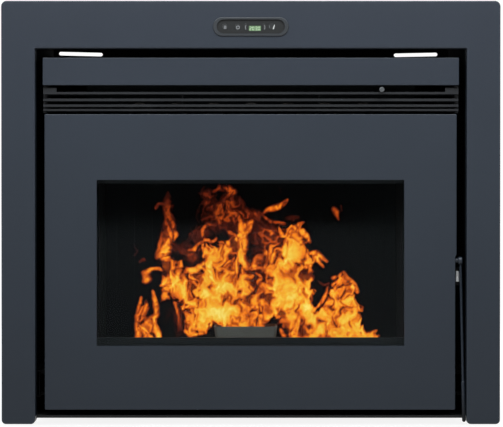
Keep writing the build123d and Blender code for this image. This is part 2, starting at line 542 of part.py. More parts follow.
def polar(r, a):
    return (SHAFT_U + r * math.cos(math.radians(a)), SHAFT_Z + r * math.sin(math.radians(a)))


hk_pts = [polar(18.0, a) for a in range(-42, 13, 3)] + [polar(14.6, a) for a in range(12, -19, -3)] + [polar(6.0, -14), polar(6.0, -60)]
hk = prof(hk_pts, 307, 315) + cylX(SHAFT_U, SHAFT_Z, 6.4, 307, 315)
hk -= cylX(SHAFT_U, SHAFT_Z, SHAFT_R, 300, 320)
save("latch_hook", hk)

# ================================================================ other moving pieces
rod = cylY(ROD_X, ROD_Z, 3, 6, 289)
knob = cylY(ROD_X, ROD_Z, 4.1, -2, 8)
knob = fillet(knob.edges(), 1.0)
save("scraper_rod", rod + knob)
spl = plate(rr(-226, 226, 443.5, 548, 5), 285, 289)
for x, z in TUBES:
    spl -= cylY(x, z, TUBE_R + 0.5, 280, 295)
spl -= cylY(ROD_X, ROD_Z, 3, 280, 295)
save("scraper_plate", spl)

lid = B(-160, 160, 339, 461, 587.2, 589.2)
lid += B(-135, -129, 375, 425, 589.2, 596)
save("hopper_lid", lid)

po = Plane.XY.offset(POT_BOT) * Pos(POT_X, POT_U - YC) * RectangleRounded(88, 76, 5)
pt = Plane.XY.offset(POT_TOP) * Pos(POT_X, POT_U - YC) * RectangleRounded(104, 92, 6)
qo = Plane.XY.offset(POT_BOT + 3) * Pos(POT_X, POT_U - YC) * RectangleRounded(82.9, 70.9, 3)
qt = Plane.XY.offset(POT_TOP + 1) * Pos(POT_X, POT_U - YC) * RectangleRounded(98.3, 86.3, 4)
pot = loft(Sketch() + [po, pt])
pot += B(POT_X - 56, POT_X + 56, POT_U - 50, POT_U + 50, 118, 121)
pot -= loft(Sketch() + [qo, qt])
holes = [cylZ(POT_X + 16 * (i - 2), POT_U + 15 * (j - 1.5), 2.5, POT_BOT - 2, POT_BOT + 5) for i in range(5) for j in range(4)]
for h in holes:
    pot -= h
for i in range(5):
    pot -= cylY(POT_X + 15 * (i - 2), 134, 2.6, POT_U, POT_U + 60)
for j in range(4):
    pot -= cylX(POT_U + 16 * (j - 1.5), 134, 2.6, POT_X - 65, POT_X + 65)
save("burn_pot", pot)

pan = B(-205, 205, 56, 280, 47, 92) - B(-203.5, 203.5, 57.5, 278.5, 48.5, 95)
pan += cylX(49, 70, 3.5, -45, 45) + B(-45, -41, 49, 56, 66.5, 73.5) + B(41, 45, 49, 56, 66.5, 73.5)
save("ash_pan", pan)

print(len(NODES), "nodes")
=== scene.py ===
import json
import math

import bmesh
import bpy
import numpy as np
from mathutils import Matrix, Vector

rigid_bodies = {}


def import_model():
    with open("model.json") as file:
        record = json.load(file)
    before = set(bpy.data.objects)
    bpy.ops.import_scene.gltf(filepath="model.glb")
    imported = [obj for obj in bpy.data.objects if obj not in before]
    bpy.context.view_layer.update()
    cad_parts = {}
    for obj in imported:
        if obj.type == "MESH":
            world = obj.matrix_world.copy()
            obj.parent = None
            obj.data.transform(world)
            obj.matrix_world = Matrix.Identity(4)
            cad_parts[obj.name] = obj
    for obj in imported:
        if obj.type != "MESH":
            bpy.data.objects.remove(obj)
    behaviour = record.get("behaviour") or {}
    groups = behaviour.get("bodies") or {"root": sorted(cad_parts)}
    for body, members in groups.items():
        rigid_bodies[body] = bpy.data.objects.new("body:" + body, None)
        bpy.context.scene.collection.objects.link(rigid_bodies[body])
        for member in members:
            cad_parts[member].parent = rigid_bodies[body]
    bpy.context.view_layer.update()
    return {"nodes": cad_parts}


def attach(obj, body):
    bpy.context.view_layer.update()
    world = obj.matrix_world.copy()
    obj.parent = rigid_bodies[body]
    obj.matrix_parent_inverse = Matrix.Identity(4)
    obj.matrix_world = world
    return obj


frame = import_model()
NODES = frame["nodes"]

# Everything below is measured in millimetres: x to the right, u is the depth
# behind the front plane of the surround, z is the height.
U0 = 294.0
CAM_D, CAM_H = 5000.0, 420.0


def P(x, u, z):
    return (x / 1000.0, (u - U0) / 1000.0, z / 1000.0)


# =====================================================================
# camera, light and floor
# =====================================================================
scene = bpy.context.scene
scene.view_settings.view_transform = "Standard"
scene.view_settings.look = "None"

cam_data = bpy.data.cameras.new("camera")
cam = bpy.data.objects.new("camera", cam_data)
scene.collection.objects.link(cam)
cam_data.sensor_width = 36.0
AIM_Z = 338.2
pitch = math.atan((CAM_H - AIM_Z) / CAM_D)
MM_PER_PX = 1.603
cam_data.lens = 36.0 * (CAM_D / math.cos(pitch) / MM_PER_PX) / 503.0
cam.location = P(1.1, -CAM_D, CAM_H)
cam.rotation_euler = (math.pi / 2 - pitch, 0, 0)
cam_data.clip_start = 0.05
cam_data.clip_end = 100
scene.camera = cam


def area_light(name, loc, target, size, size_y, power, color=(1, 1, 1)):
    d = bpy.data.lights.new(name, "AREA")
    d.shape = "RECTANGLE"
    d.size, d.size_y = size, size_y
    d.energy = power
    d.color = color
    o = bpy.data.objects.new(name, d)
    scene.collection.objects.link(o)
    o.location = loc
    o.rotation_euler = (Vector(target) - Vector(loc)).to_track_quat("-Z", "Y").to_euler()
    return o


key_light = area_light("softbox_top", (0.0, -1.25, 1.75), (0, -0.28, 0.50), 2.2, 0.7, 66.0, (0.93, 0.97, 1.0))
area_light("softbox_left", (-2.3, -1.2, 1.3), (0, -0.2, 0.4), 0.9, 1.6, 8.5, (0.95, 0.98, 1.0))
area_light("softbox_right", (2.3, -1.2, 1.3), (0, -0.2, 0.4), 0.9, 1.6, 8.5, (0.95, 0.98, 1.0))
area_light("softbox_back", (0.3, 2.4, 1.7), (0, 0.1, 0.4), 1.8, 1.2, 26.0)

world = bpy.data.worlds.new("studio")
scene.world = world
world.use_nodes = True
wt = world.node_tree
wt.nodes.clear()
w_out = wt.nodes.new("ShaderNodeOutputWorld")
w_bg = wt.nodes.new("ShaderNodeBackground")
w_co = wt.nodes.new("ShaderNodeTexCoord")
w_sep = wt.nodes.new("ShaderNodeSeparateXYZ")
w_map = wt.nodes.new("ShaderNodeMapRange")
w_map.interpolation_type = "SMOOTHSTEP"
w_map.inputs["From Min"].default_value = -0.95
w_map.inputs["From Max"].default_value = 0.25
w_map.inputs["To Min"].default_value = 0.16
w_map.inputs["To Max"].default_value = 1.04
wt.links.new(w_co.outputs["Generated"], w_sep.inputs[0])
wt.links.new(w_sep.outputs["Y"], w_map.inputs["Value"])
wt.links.new(w_map.outputs["Result"], w_bg.inputs["Color"])
wt.links.new(w_bg.outputs[0], w_out.inputs[0])


# =====================================================================
# material helpers
# =====================================================================
def mat_new(name):
    m = bpy.data.materials.new(name)
    m.use_nodes = True
    t = m.node_tree
    t.nodes.clear()
    out = t.nodes.new("ShaderNodeOutputMaterial")
    return m, t, out


def put(t, sock, v):
    if isinstance(v, bpy.types.NodeSocket):
        t.links.new(v, sock)
    elif isinstance(v, (tuple, list)) and len(v) == 3 and sock.type == "RGBA":
        sock.default_value = (*v, 1.0)
    else:
        sock.default_value = v


def nd(t, kind, ins=None, **props):
    n = t.nodes.new("ShaderNode" + kind)
    for k, v in props.items():
        setattr(n, k, v)
    for k, v in (ins or {}).items():
        put(t, n.inputs[k], v)
    return n


def coords(t, scale=(1, 1, 1), rot=(0, 0, 0)):
    c = nd(t, "TexCoord").outputs["Object"]
    if scale == (1, 1, 1) and rot == (0, 0, 0):
        return c
    return nd(t, "Mapping", {"Vector": c, "Scale": scale, "Rotation": rot}).outputs[0]


def noise(t, vec, scale, detail=2.0, rough=0.5, distortion=0.0):
    return nd(t, "TexNoise", {"Vector": vec, "Scale": scale, "Detail": detail, "Roughness": rough, "Distortion": distortion}).outputs["Fac"]


def voro(t, vec, scale, feature="F1", rand=1.0, out="Distance"):
    return nd(t, "TexVoronoi", {"Vector": vec, "Scale": scale, "Randomness": rand}, feature=feature).outputs[out]


def ramp(t, fac, stops, interp="LINEAR"):
    n = nd(t, "ValToRGB", {"Fac": fac})
    cr = n.color_ramp
    cr.interpolation = interp
    while len(cr.elements) > 1:
        cr.elements.remove(cr.elements[-1])
    for k, (p, c) in enumerate(stops):
        if k == 0:
            e = cr.elements[0]
            e.position = p
        else:
            e = cr.elements.new(p)
        e.color = (*c, 1.0) if isinstance(c, (tuple, list)) else (c, c, c, 1.0)
    return n.outputs["Color"]


def mapr(t, v, a, b, c, d, smooth=False):
    return nd(t, "MapRange", {"Value": v, "From Min": a, "From Max": b, "To Min": c, "To Max": d},
              interpolation_type="SMOOTHSTEP" if smooth else "LINEAR", clamp=True).outputs["Result"]


def mth(t, op, a, b=None, c=None, clamp=False):
    n = nd(t, "Math", operation=op, use_clamp=clamp)
    put(t, n.inputs[0], a)
    if b is not None:
        put(t, n.inputs[1], b)
    if c is not None:
        put(t, n.inputs[2], c)
    return n.outputs[0]


def mix(t, fac, a, b, mode="MIX"):
    n = nd(t, "Mix", data_type="RGBA", blend_type=mode)
    n.clamp_factor = True
    put(t, n.inputs[0], fac)
    put(t, n.inputs[6], a)
    put(t, n.inputs[7], b)
    return n.outputs[2]


def bump(t, height, strength, dist, normal=None):
    ins = {"Height": height, "Strength": strength, "Distance": dist}
    if normal is not None:
        ins["Normal"] = normal
    return nd(t, "Bump", ins).outputs[0]


def up_facing(t, lo=0.35, hi=0.9):
    g = nd(t, "NewGeometry").outputs["Normal"]
    z = nd(t, "SeparateXYZ", {0: g}).outputs["Z"]
    return mapr(t, z, lo, hi, 0.0, 1.0, True)


def surface(t, out, base, rough, metal=0.0, normal=None, **const):
    b = nd(t, "BsdfPrincipled", {"Base Color": base, "Roughness": rough, "Metallic": metal})
    if normal is not None:
        put(t, b.inputs["Normal"], normal)
    for k, v in const.items():
        put(t, b.inputs[k.replace("_", " ")], v)
    t.links.new(b.outputs[0], out.inputs[0])
    return b


def scaled(c, k):
    return tuple(v * k for v in c)


# =====================================================================
# materials
# =====================================================================
ANTH = (0.0125, 0.0162, 0.0232)


def mat_anthracite():
    m, t, out = mat_new("anthracite_paint")
    co = coords(t)
    cloud = noise(t, co, 7.0, 3.0, 0.55)
    grain = noise(t, co, 900.0, 2.0, 0.6)
    fleck = voro(t, co, 1500.0)
    base = mix(t, mapr(t, cloud, 0.3, 0.7, 0.0, 1.0), scaled(ANTH, 0.95), scaled(ANTH, 1.05))
    base = mix(t, mapr(t, grain, 0.35, 0.65, 0.0, 0.30), base, scaled(ANTH, 1.55))
    base = mix(t, mapr(t, fleck, 0.0, 0.12, 0.35, 0.0), base, (0.045, 0.050, 0.060))
    # painted shade: the paint's colour is multiplied darker towards the floor, standing in for the light falling
    # off lower down
    z = nd(t, "SeparateXYZ", {0: co}).outputs["Z"]
    tone = ramp(t, mapr(t, z, 0.0, 0.68, 0.0, 1.0), [(0.0, (0.60, 0.70, 0.73)), (0.30, (0.74, 0.83, 0.87)), (0.52, (0.90, 0.98, 0.99)), (1.0, (0.97, 1.0, 1.03))])
    base = mix(t, 1.0, base, tone, "MULTIPLY")
    rough = mapr(t, grain, 0.3, 0.7, 0.38, 0.50)
    n = bump(t, grain, 0.22, 0.00012)
    n = bump(t, cloud, 0.05, 0.0006, n)
    surface(t, out, base, rough, 0.0, n, Specular_IOR_Level=0.32)
    return m


def mat_black(name="black_paint", c=(0.0048, 0.0056, 0.0068), r=(0.50, 0.66), spec=0.28, tint=(1.0, 1.0, 1.0)):
    m, t, out = mat_new(name)
    co = coords(t)
    cloud = noise(t, co, 17.0, 4.0, 0.6)
    grain = noise(t, co, 700.0, 2.0, 0.6)
    base = mix(t, mapr(t, cloud, 0.3, 0.7, 0.0, 1.0), scaled(c, 0.92), scaled(c, 1.14))
    base = mix(t, mapr(t, grain, 0.4, 0.7, 0.0, 0.35), base, scaled(c, 2.0))
    dust = mth(t, "MULTIPLY", up_facing(t, 0.6, 1.0), mapr(t, noise(t, co, 150.0, 4.0, 0.7), 0.45, 0.75, 0.0, 0.10))
    base = mix(t, dust, base, (0.05, 0.05, 0.05))
    rough = mapr(t, cloud, 0.2, 0.8, r[0], r[1])
    surface(t, out, base, rough, 0.0, bump(t, grain, 0.35, 0.00015), Specular_IOR_Level=spec, Specular_Tint=tint)
    return m


def mat_zinc():
    m, t, out = mat_new("zinc_steel")
    co = coords(t)
    cell = voro(t, co, 120.0, out="Color")
    tone = nd(t, "SeparateColor", {0: cell}).outputs[0]
    fine = noise(t, co, 420.0, 3.0, 0.6)
    base = mix(t, tone, (0.33, 0.345, 0.36), (0.56, 0.575, 0.59))
    base = mix(t, mapr(t, noise(t, co, 18.0, 4.0, 0.6), 0.45, 0.75, 0.0, 0.45), base, (0.42, 0.42, 0.41))
    rough = mth(t, "ADD", mapr(t, tone, 0.0, 1.0, 0.30, 0.50), mapr(t, fine, 0.3, 0.7, -0.04, 0.06))
    surface(t, out, base, rough, 0.85, bump(t, mth(t, "ADD", fine, tone), 0.12, 0.0002))
    return m


def mat_raw():
    m, t, out = mat_new("raw_steel")
    co = coords(t)
    streak = noise(t, coords(t, (1, 1, 0.12)), 260.0, 4.0, 0.65)
    tint = noise(t, co, 6.0, 3.0, 0.6, 0.6)
    base = ramp(t, tint, [(0.30, (0.17, 0.165, 0.165)), (0.48, (0.135, 0.115, 0.10)), (0.60, (0.10, 0.105, 0.125)), (0.75, (0.19, 0.185, 0.18))])
    base = mix(t, mapr(t, streak, 0.35, 0.7, 0.0, 0.5), base, (0.25, 0.245, 0.24))
    soot = mapr(t, noise(t, co, 22.0, 5.0, 0.7), 0.45, 0.7, 0.0, 0.8)
    base = mix(t, soot, base, (0.02, 0.019, 0.018))
    rough = mth(t, "ADD", mapr(t, streak, 0.3, 0.7, 0.36, 0.55), mth(t, "MULTIPLY", soot, 0.3), clamp=True)
    surface(t, out, base, rough, 0.8, bump(t, streak, 0.15, 0.00025))
    return m


def mat_shell():
    # inside of the fire room: steel and ash board under years of soot
    m, t, out = mat_new("sooted_steel")
    co = coords(t)
    n1 = noise(t, co, 26.0, 5.0, 0.65)
    n2 = noise(t, co, 240.0, 3.0, 0.7)
    base = mix(t, mapr(t, n1, 0.35, 0.7, 0.0, 1.0), (0.0008, 0.0022, 0.0030), (0.0022, 0.0046, 0.0056))
    base = mix(t, mapr(t, n2, 0.55, 0.8, 0.0, 0.3), base, (0.03, 0.03, 0.03))
    surface(t, out, base, mapr(t, n2, 0.3, 0.7, 0.72, 0.95), 0.0, bump(t, n2, 0.5, 0.0005), Specular_IOR_Level=0.25)
    return m


def mat_stainless():
    m, t, out = mat_new("stainless")
    co = coords(t)
    brush = noise(t, coords(t, (1, 1, 0.04)), 900.0, 3.0, 0.6)
    base = mix(t, mapr(t, brush, 0.3, 0.7, 0.0, 1.0), (0.52, 0.52, 0.525), (0.70, 0.70, 0.70))
    base = mix(t, mapr(t, noise(t, co, 14.0, 4.0, 0.6), 0.55, 0.8, 0.0, 0.4), base, (0.40, 0.37, 0.33))
    surface(t, out, base, mapr(t, brush, 0.3, 0.7, 0.20, 0.34), 1.0, bump(t, brush, 0.10, 0.0001))
    return m


def mat_glint_steel():
    # ground steel, painted near-white and only partly metallic so it shows as an even glint under any light
    m, t, out = mat_new("ground_steel_painted_glint")
    co = coords(t)
    turn = noise(t, coords(t, (0.15, 0.15, 1)), 1400.0, 2.0, 0.6)
    base = mix(t, mapr(t, turn, 0.3, 0.7, 0.0, 1.0), (0.86, 0.86, 0.86), (0.97, 0.97, 0.96))
    surface(t, out, base, mapr(t, turn, 0.3, 0.7, 0.42, 0.55), 0.35, bump(t, turn, 0.08, 0.00008))
    return m


def mat_cast():
    m, t, out = mat_new("cast_iron")
    co = coords(t)
    n1 = noise(t, co, 320.0, 4.0, 0.65)
    n2 = noise(t, co, 20.0, 4.0, 0.6)
    base = mix(t, mapr(t, n1, 0.3, 0.7, 0.0, 1.0), (0.078, 0.078, 0.068), (0.135, 0.133, 0.116))
    base = mix(t, mapr(t, n2, 0.45, 0.75, 0.0, 0.55), base, (0.045, 0.033, 0.026))
    ash = mth(t, "MULTIPLY", up_facing(t, 0.5, 0.95), mapr(t, noise(t, co, 85.0, 5.0, 0.7), 0.42, 0.62, 0.0, 0.85))
    base = mix(t, ash, base, (0.16, 0.155, 0.15))
    surface(t, out, base, mapr(t, n1, 0.3, 0.7, 0.55, 0.85), 0.15, bump(t, n1, 0.7, 0.0006))
    return m


def mat_hearth():
    # thick plate, black with soot and a little ash dust in the middle
    m, t, out = mat_new("hearth_iron")
    co = coords(t)
    n1 = noise(t, co, 300.0, 4.0, 0.65)
    base = mix(t, mapr(t, n1, 0.3, 0.7, 0.0, 1.0), (0.0030, 0.0034, 0.0038), (0.009, 0.0096, 0.0100))
    spots = mapr(t, noise(t, co, 60.0, 5.0, 0.75), 0.60, 0.78, 0.0, 0.6)
    base = mix(t, mth(t, "MULTIPLY", up_facing(t, 0.5, 0.95), spots), base, (0.09, 0.088, 0.085))
    surface(t, out, base, mapr(t, n1, 0.3, 0.7, 0.6, 0.9), 0.1, bump(t, n1, 0.6, 0.0006))
    return m


def mat_board():
    m, t, out = mat_new("fireboard")
    co = coords(t)
    z = nd(t, "SeparateXYZ", {0: co}).outputs["Z"]
    n1 = noise(t, co, 16.0, 5.0, 0.65, 0.4)
    n2 = noise(t, co, 380.0, 3.0, 0.7)
    # the height term makes the board darker towards the bottom; the noise on top of it adds soot blotches
    soot = mth(t, "ADD", mapr(t, z, 0.12, 0.40, 0.62, 0.50), mapr(t, n1, 0.3, 0.7, -0.25, 0.25), clamp=True)
    base = mix(t, soot, (0.0014, 0.0034, 0.0042), (0.0005, 0.0017, 0.0024))
    base = mix(t, mapr(t, n2, 0.55, 0.8, 0.0, 0.16), base, (0.026, 0.027, 0.027))
    surface(t, out, base, 0.93, 0.0, bump(t, mth(t, "ADD", n2, mth(t, "MULTIPLY", n1, 2.0)), 0.45, 0.0006), Specular_IOR_Level=0.06)
    return m


def mat_glass():
    m, t, out = mat_new("ceramic_glass")
    co = coords(t)
    film = noise(t, co, 9.0, 4.0, 0.6)
    tint = mix(t, mapr(t, film, 0.35, 0.7, 0.0, 1.0), (0.955, 0.965, 0.965), (0.985, 0.988, 0.985))
    tr = nd(t, "BsdfTransparent", {"Color": tint})
    gl = nd(t, "BsdfGlossy", {"Color": (0.80, 0.93, 1.0), "Roughness": mapr(t, film, 0.3, 0.7, 0.02, 0.07)})
    fr = nd(t, "Fresnel", {"IOR": 1.13})
    mx = nd(t, "MixShader", {0: fr.outputs[0], 1: tr.outputs[0], 2: gl.outputs[0]})
    t.links.new(mx.outputs[0], out.inputs[0])
    return m


def mat_rope():
    m, t, out = mat_new("gasket_fibre")
    co = coords(t)
    braid = nd(t, "TexWave", {"Vector": coords(t, (1, 1, 1), (0.0, 0.78, 0.0)), "Scale": 150.0, "Distortion": 1.2, "Detail": 2.0}, wave_type="BANDS").outputs["Fac"]
    fuzz = noise(t, co, 800.0, 3.0, 0.7)
    base = mix(t, braid, (0.05, 0.05, 0.048), (0.17, 0.165, 0.155))
    base = mix(t, mapr(t, noise(t, co, 30.0, 3.0), 0.4, 0.7, 0.0, 0.6), base, (0.03, 0.029, 0.028))
    surface(t, out, base, 0.95, 0.0, bump(t, mth(t, "ADD", braid, mth(t, "MULTIPLY", fuzz, 0.5)), 0.8, 0.0012))
    return m


def mat_plastic(name, c, r=(0.32, 0.44), spec=0.5, lift=1.25):
    m, t, out = mat_new(name)
    co = coords(t)
    g = voro(t, co, 2200.0)
    n1 = noise(t, co, 40.0, 3.0)
    base = mix(t, mapr(t, n1, 0.3, 0.7, 0.0, 1.0), scaled(c, 0.92), scaled(c, 1.08))
    base = mix(t, mapr(t, g, 0.1, 0.5, 0.0, 0.25), base, scaled(c, lift))
    surface(t, out, base, mapr(t, g, 0.0, 0.6, r[0], r[1]), 0.0, bump(t, g, 0.25, 0.00008), Specular_IOR_Level=spec)
    return m


def mat_lens():
    m, t, out = mat_new("display_glass")
    co = coords(t)
    film = noise(t, co, 120.0, 2.0)
    tr = nd(t, "BsdfTransparent", {"Color": mix(t, film, (0.90, 0.95, 0.90), (0.95, 0.98, 0.94))})
    gl = nd(t, "BsdfGlossy", {"Color": (1, 1, 1), "Roughness": mapr(t, film, 0.3, 0.7, 0.05, 0.12)})
    fr = nd(t, "Fresnel", {"IOR": 1.25})
    mx = nd(t, "MixShader", {0: fr.outputs[0], 1: tr.outputs[0], 2: gl.outputs[0]})
    t.links.new(mx.outputs[0], out.inputs[0])
    return m


def mat_circuit():
    m, t, out = mat_new("circuit")
    co = coords(t)
    br = nd(t, "TexBrick", {"Vector": co, "Scale": 190.0, "Color1": (0.006, 0.055, 0.022, 1), "Color2": (0.010, 0.075, 0.030, 1), "Mortar": (0.03, 0.16, 0.07, 1), "Mortar Size": 0.012}).outputs["Color"]
    dots = voro(t, co, 330.0)
    base = mix(t, mapr(t, dots, 0.10, 0.16, 1.0, 0.0), br, (0.42, 0.40, 0.34))
    surface(t, out, base, mapr(t, dots, 0.1, 0.4, 0.25, 0.42), 0.0, bump(t, dots, 0.3, 0.0002))
    return m


def mat_alloy():
    m, t, out = mat_new("motor_alloy")
    co = coords(t)
    n1 = noise(t, co, 700.0, 3.0, 0.6)
    base = mix(t, mapr(t, n1, 0.3, 0.7, 0.0, 1.0), (0.30, 0.305, 0.31), (0.46, 0.465, 0.47))
    base = mix(t, mapr(t, noise(t, co, 25.0, 4.0, 0.6), 0.5, 0.8, 0.0, 0.5), base, (0.22, 0.21, 0.20))
    surface(t, out, base, mapr(t, n1, 0.3, 0.7, 0.42, 0.60), 0.8, bump(t, n1, 0.4, 0.0003))
    return m


def mat_glow(name, c_lo, c_hi, strength, scale=300.0, base=(0.01, 0.012, 0.01)):
    m, t, out = mat_new(name)
    co = coords(t)
    n1 = noise(t, co, scale, 2.0)
    col = mix(t, mapr(t, n1, 0.3, 0.7, 0.0, 1.0), c_lo, c_hi)
    surface(t, out, base, 0.4, 0.0, None, Emission_Color=col, Emission_Strength=strength)
    m.cycles.emission_sampling = "NONE"
    return m


def mat_fire():
    m, t, out = mat_new("flame_glow")
    co = coords(t)
    heat = nd(t, "Attribute", attribute_name="fire_heat").outputs["Fac"]
    fine = noise(t, coords(t, (1, 1, 0.6)), 330.0, 2.0, 0.6, 0.6)
    h = mth(t, "ADD", heat, mapr(t, fine, 0.25, 0.75, -0.03, 0.03))
    hn = mth(t, "DIVIDE", h, 1.3, clamp=True)
    s = 1 / 1.3
    col = ramp(t, hn, [(0.0, (0, 0, 0)), (0.08 * s, (0.008, 0.0012, 0.0008)), (0.22 * s, (0.11, 0.012, 0.004)), (0.38 * s, (0.50, 0.075, 0.006)), (0.54 * s, (0.90, 0.21, 0.010)),
                       (0.70 * s, (0.93, 0.37, 0.020)), (0.86 * s, (0.94, 0.49, 0.040)), (1.02 * s, (0.96, 0.60, 0.07)), (1.0, (1.0, 0.78, 0.18))])
    em = nd(t, "Emission", {"Color": col, "Strength": 1.0})
    tr = nd(t, "BsdfTransparent", {"Color": (1.0, 1.0, 1.0)})
    mx = nd(t, "MixShader", {0: mapr(t, h, 0.05, 0.34, 0.10, 1.0, True), 1: tr.outputs[0], 2: em.outputs[0]})
    t.links.new(mx.outputs[0], out.inputs[0])
    m.cycles.emission_sampling = "NONE"
    return m


def mat_ember():
    m, t, out = mat_new("ember")
    co = coords(t)
    n1 = noise(t, co, 130.0, 4.0, 0.65)
    crack = voro(t, co, 260.0, "DISTANCE_TO_EDGE")
    g = mth(t, "MULTIPLY", mapr(t, n1, 0.40, 0.65, 0.0, 1.0), mapr(t, crack, 0.0, 0.25, 1.0, 0.35))
    col = ramp(t, g, [(0.0, (0.01, 0.001, 0.0)), (0.35, (0.45, 0.05, 0.006)), (0.7, (1.0, 0.26, 0.02)), (1.0, (1.0, 0.55, 0.10))])
    surface(t, out, mix(t, n1, (0.015, 0.014, 0.013), (0.12, 0.115, 0.11)), 0.9, 0.0, bump(t, crack, 0.5, 0.0008), Emission_Color=col, Emission_Strength=1.0)
    m.cycles.emission_sampling = "NONE"
    return m


def mat_pellet():
    m, t, out = mat_new("wood_pellet")
    co = coords(t)
    n1 = noise(t, co, 500.0, 4.0, 0.65)
    n2 = noise(t, co, 45.0, 2.0)
    base = mix(t, mapr(t, n1, 0.3, 0.7, 0.0, 1.0), (0.27, 0.155, 0.068), (0.46, 0.29, 0.145))
    base = mix(t, mapr(t, n2, 0.4, 0.7, 0.0, 0.5), base, (0.36, 0.20, 0.085))
    surface(t, out, base, mapr(t, n1, 0.3, 0.7, 0.45, 0.7), 0.0, bump(t, n1, 0.6, 0.0005))
    return m


def mat_ash():
    m, t, out = mat_new("ash")
    co = coords(t)
    n1 = noise(t, co, 220.0, 5.0, 0.7)
    base = ramp(t, n1, [(0.30, (0.06, 0.058, 0.055)), (0.52, (0.22, 0.215, 0.205)), (0.72, (0.36, 0.35, 0.335))])
    surface(t, out, base, 0.97, 0.0, bump(t, n1, 0.8, 0.002))
    return m


def mat_screw():
    m, t, out = mat_new("screw_steel")
    co = coords(t)
    n1 = noise(t, co, 900.0, 3.0, 0.6)
    base = mix(t, mapr(t, n1, 0.3, 0.7, 0.0, 1.0), (0.34, 0.34, 0.35), (0.55, 0.55, 0.56))
    surface(t, out, base, mapr(t, n1, 0.3, 0.7, 0.28, 0.42), 0.95, bump(t, n1, 0.2, 0.0001))
    return m


def mat_floor():
    m, t, out = mat_new("floor")
    co = coords(t)
    n1 = noise(t, co, 3.0, 3.0)
    base = mix(t, n1, (0.20, 0.20, 0.20), (0.22, 0.22, 0.22))
    surface(t, out, base, 0.85, 0.0, None, Emission_Color=(1, 1, 1), Emission_Strength=0.87, Specular_IOR_Level=0.1)
    m.cycles.emission_sampling = "NONE"
    return m


MAT = {
    "anthracite": mat_anthracite(),
    "black": mat_black(),
    "black_front": mat_black("black_front_paint", (0.0018, 0.0027, 0.0034), (0.46, 0.60), 0.22, (0.86, 0.96, 1.0)),
    "black_base": mat_black("black_base_paint", (0.0016, 0.0017, 0.0018), (0.55, 0.70)),
    "rail": mat_black("rail_coat", (0.0016, 0.0018, 0.0021), (0.62, 0.74), 0.16),
    # painted shade: the darker, duller black for the inner faces of the casing
    "inside": mat_black("casing_inside_painted_shade", (0.0012, 0.0014, 0.0016), (0.74, 0.86), 0.12),
    "rod": mat_black("rod_coat", (0.045, 0.048, 0.050), (0.32, 0.44)),
    "grille": mat_black("grille_paint", (0.0068, 0.0076, 0.0090), (0.40, 0.52)),
    "zinc": mat_zinc(),
    "raw": mat_raw(),
    "shell": mat_shell(),
    "stainless": mat_stainless(),
    # painted highlight: near-white steel for the pins
    "polish": mat_glint_steel(),
    "cast": mat_cast(),
    "hearth": mat_hearth(),
    "board": mat_board(),
    "glass": mat_glass(),
    "rope": mat_rope(),
    "bezel": mat_plastic("panel_plastic", (0.0098, 0.0122, 0.0152), (0.34, 0.46), 0.50),
    # painted shade: the darker plastic for the floor of the panel's recess
    "recess": mat_plastic("panel_recess_painted_shade", (0.0058, 0.0064, 0.0066), (0.38, 0.50), 0.32),
    "key": mat_plastic("touch_key", (0.0092, 0.0101, 0.0104), (0.36, 0.48), 0.40),
    "icon": mat_plastic("key_print", (0.125, 0.130, 0.135), (0.5, 0.6), 0.4),
    "icon_hot": mat_plastic("key_print_hot", (0.30, 0.31, 0.30), (0.5, 0.6), 0.4),
    "icon_dim": mat_plastic("key_print_dim", (0.055, 0.060, 0.062), (0.5, 0.6), 0.4),
    "socket": mat_plastic("socket_plastic", (0.012, 0.012, 0.013), (0.35, 0.5)),
    "sleeve": mat_plastic("lever_sleeve", (0.0016, 0.0020, 0.0026), (0.50, 0.62), 0.16),
    "lens": mat_lens(),
    "circuit": mat_circuit(),
    "alloy": mat_alloy(),
    "backlight": mat_glow("display_backlight", (0.160, 0.250, 0.145), (0.215, 0.320, 0.195), 1.0),
    "digit": mat_glow("display_digit", (0.66, 0.84, 0.60), (0.76, 0.92, 0.70), 1.0),
    "fire": mat_fire(),
    "ember": mat_ember(),
    "pellet": mat_pellet(),
    "ash": mat_ash(),
    "screw": mat_screw(),
}

NODE_MAT = {
    "anthracite": ["surround_frame", "door_panel", "top_fascia", "handle_lever"],
    "black": ["casing_panels", "casing_back", "body_panels", "base_tray", "top_cover", "hopper_lid", "door_inner_frame", "surround_brackets", "glass_clips"],
    "black_front": ["front_frame"],
    "black_base": ["casing_base"],
    "grille": ["air_grille"],
    "rail": ["rail_outer", "rail_middle", "rail_inner", "hinge_brackets", "catch_bracket"],
    "zinc": ["levelling_feet", "hopper", "auger_housing", "pellet_chute", "blower_housing"],
    "raw": ["exchanger_tubes", "scraper_plate", "smoke_box", "exhaust_fan_housing", "exhaust_impeller", "ash_pan", "auger_screw", "igniter", "latch_hook"],
    "shell": ["firebox_shell"],
    "stainless": ["flue_spigot", "air_intake_pipe"],
    "rod": ["scraper_rod"],
    "cast": ["burn_pot"],
    "hearth": ["hearth_plate", "baffle_plate"],
    "board": ["firebox_liner"],
    "glass": ["door_glass"],
    "rope": ["door_gaskets"],
    "bezel": ["control_bezel"],
    "socket": ["power_inlet", "power_switch"],
    "key": ["button_menu", "button_power", "button_minus", "button_plus", "button_mode"],
    "lens": ["display_lens"],
    "circuit": ["display_board", "control_board"],
    "alloy": ["auger_motor", "exhaust_motor", "blower_motor", "blower_wheel"],
}
seen = set()
for slot_key, names in NODE_MAT.items():
    for n in names:
        if n in NODES:
            ob = NODES[n]
            ob.data.materials.clear()
            ob.data.materials.append(MAT[slot_key])
            seen.add(n)
left = sorted(set(NODES) - seen)
if left:
    print("nodes with no own material:", left)
    for n in left:
        NODES[n].data.materials.clear()
        NODES[n].data.materials.append(MAT["zinc"])


